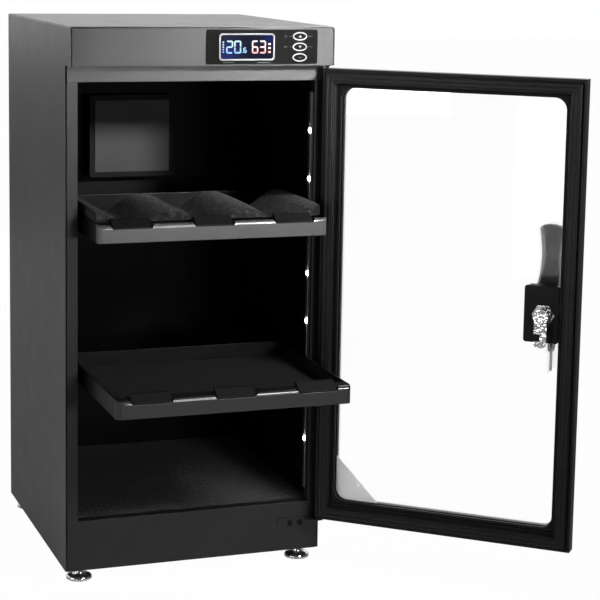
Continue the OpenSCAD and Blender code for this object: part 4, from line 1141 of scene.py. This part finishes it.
@dataclass
class Feet:
    """The four levelling feet, with sizes in millimetres."""

    pitch: float = 1.25
    turns: int = 9
    thread_radius: float = 3.85
    thread_wire: float = 0.32
    first_turn: float = 12.2
    names: tuple[str, ...] = ("front_left", "front_right", "rear_left", "rear_right")

    def build(self) -> None:
        """Polishes the feet and cuts their threads."""
        for name in self.names:
            node = f"foot_{name}"
            rounded(node, CHROME, 0.0)
            low, _, mid = size_of(node)
            thread = hoop(f"{node}_thread", self.thread_radius * MM, self.thread_wire * MM)
            start = Vector((mid.x, mid.y, low.z + self.first_turn * MM))
            repeats().lay(thread, self.turns, start, Vector((0, 0, self.pitch * MM)), CHROME)
            attach(thread, node)


@dataclass(frozen=True)
class Lamp:
    """One soft lamp: place, aim and size in metres, power in watts and spread in degrees."""

    name: str
    place: tuple[float, float, float]
    aim: tuple[float, float, float]
    size: tuple[float, float]
    power: float
    spread: float = 180.0

    def hang(self) -> None:
        """Adds the lamp to the scene."""
        data = bpy.data.lights.new(self.name, "AREA")
        data.spread = math.radians(self.spread)
        data.shape = "RECTANGLE"
        data.size, data.size_y = self.size
        data.energy = self.power
        made = bpy.data.objects.new(self.name, data)
        made.location = self.place
        made.rotation_euler = (Vector(self.aim) - Vector(self.place)).to_track_quat("-Z", "Y").to_euler()
        bpy.context.scene.collection.objects.link(made)


@dataclass
class Studio:
    """Floor, background, lamps and camera."""

    eye: tuple[float, float, float] = (-0.61406, -2.19687, 0.747475)
    yaw: float = 20.035
    pitch: float = 8.236
    roll: float = 0.991
    focal_pixels: float = 1834.94
    picture: float = 600.0
    rise_pixels: float = -90.0
    floor_reach: float = 12.0
    floor_white: float = 0.985
    sky_light: float = 0.1
    lamps: tuple[Lamp, ...] = (
        Lamp("key", (0.55, -1.0, 1.15), (0.12, -0.19, 0.64), (0.5, 0.35), 1.0, 70.0),
        Lamp("header_spot", (0.5, -1.2, 0.9), (0.12, -0.19, 0.63), (0.15, 0.1), 0.87, 25.0),
        Lamp("front_card", (0.45, -2.4, 0.55), (-0.05, -0.19, 0.5), (0.4, 0.2), 5.0, 120.0),
        Lamp("back_card", (0.55, 2.4, 0.4), (0.0, 0.17, 0.35), (1.0, 0.4), 7.0),
        Lamp("tray_key", (0.5, -1.1, 0.95), (0.08, -0.3, 0.22), (0.5, 0.1), 0.6, 45.0),
        Lamp("door_card", (-1.15, -1.42, 0.25), (0.3, -0.3, 0.33), (0.16, 0.4), 0.13, 60.0),
        Lamp("left_wash", (-2.4, -0.6, 1.0), (-0.16, 0.0, 0.45), (1.6, 1.6), 13.2),
        Lamp("top_strip", (0.1, 2.7, 1.7), (0.0, 0.0, 0.653), (2.8, 1.0), 1.0))

    def build(self) -> None:
        """Sets up the stage."""
        self.floor()
        self.world()
        for lamp in self.lamps:
            lamp.hang()
        self.camera()
        bpy.context.scene.view_settings.view_transform = "Standard"

    def floor(self) -> None:
        """Lays the pale floor, which the camera sees as white but for the shadow."""
        shape = bmesh.new()
        far = self.floor_reach
        corners = ((-far, -far), (far, -far), (far, far), (-far, far))
        shape.faces.new([shape.verts.new((x, y, 0.0)) for x, y in corners])
        graph = Graph("stage_floor")
        grain = graph.ramp(graph.noise(7.0, 3.0), [(0.3, (0.8, 0.8, 0.8)), (0.7, (0.82, 0.82, 0.82))])
        graph.set(Base_Color=grain, Roughness=0.8, Specular_IOR_Level=0.1)
        path = graph.node("LightPath").outputs
        glow = graph.node("Emission", {"Color": PURE_WHITE, "Strength": 1.0})
        seen = graph.math("MAXIMUM", path["Is Camera Ray"], path["Is Transmission Ray"])
        part = graph.math("MULTIPLY", seen, self.floor_white)
        mixed = graph.node("MixShader", {0: part, 1: graph.bsdf.outputs[0], 2: glow.outputs[0]})
        graph.link(mixed.outputs[0], graph.out.inputs[0])
        mesh = bpy.data.meshes.new("studio_floor")
        shape.to_mesh(mesh)
        shape.free()
        mesh.materials.append(graph.material)
        put("studio_floor", mesh)

    def world(self) -> None:
        """Makes a background that is white to the eye and soft grey as a light."""
        world = bpy.data.worlds.new("studio_world")
        bpy.context.scene.world = world
        world.use_nodes = True
        sky = Wiring(world.node_tree)
        path = sky.node("LightPath").outputs
        parts = sky.node("SeparateXYZ", {0: sky.node("TexCoord").outputs["Generated"]}).outputs
        values = {"Value": parts["Y"], "From Min": 0.1, "From Max": 0.85, "To Min": 0.1, "To Max": 1.0}
        behind = sky.node("MapRange", values).outputs["Result"]
        level = sky.math("MULTIPLY", path["Is Glossy Ray"], behind)
        for other in (path["Is Camera Ray"], path["Is Transmission Ray"], self.sky_light):
            level = sky.math("MAXIMUM", level, other)
        light = sky.node("Background", {"Color": PURE_WHITE, "Strength": level})
        sky.link(light.outputs[0], sky.node("OutputWorld").inputs[0])

    def camera(self) -> None:
        """Places the camera at the photograph's viewpoint."""
        yaw, pitch, roll = (math.radians(v) for v in (self.yaw, self.pitch, self.roll))
        ahead = Vector((math.sin(yaw) * math.cos(pitch), math.cos(yaw) * math.cos(pitch), -math.sin(pitch)))
        right = Vector((math.cos(yaw), -math.sin(yaw), 0.0))
        up = right.cross(ahead)
        across = math.cos(roll) * right + math.sin(roll) * up
        above = -math.sin(roll) * right + math.cos(roll) * up
        data = bpy.data.cameras.new("camera")
        data.sensor_width = 36.0
        data.lens = self.focal_pixels / self.picture * data.sensor_width
        data.shift_y = self.rise_pixels / self.picture
        data.clip_start, data.clip_end = 0.05, 50.0
        made = bpy.data.objects.new("camera", data)
        turn = Matrix((across, above, -ahead)).transposed()
        made.matrix_world = Matrix.Translation(Vector(self.eye)) @ turn.to_4x4()
        bpy.context.scene.collection.objects.link(made)
        bpy.context.scene.camera = made


def main() -> None:
    """Builds the cabinet's dress and the studio in order."""
    logging.basicConfig(level=logging.INFO, format="%(name)s: %(message)s")
    cabinet = (Casing(), Chamber(), Controls(), Door(), Feet())
    mat = FoamSheet("tray_mat_foam_painted_shadow", "tray_lower_mat", TRAY_MAT_SHADOWED)
    # The lower tray's trim is dressed in painted shade, a darker copy of the upper trim's finish.
    trays = (Tray("upper", TRIM), LensFoam(), Tray("lower", LOW_TRIM_SHADED), mat)
    for assembly in (Studio(), *cabinet, *trays):
        LOG.info("building %s", type(assembly).__name__)
        assembly.build()


if __name__ == "__main__":
    main()
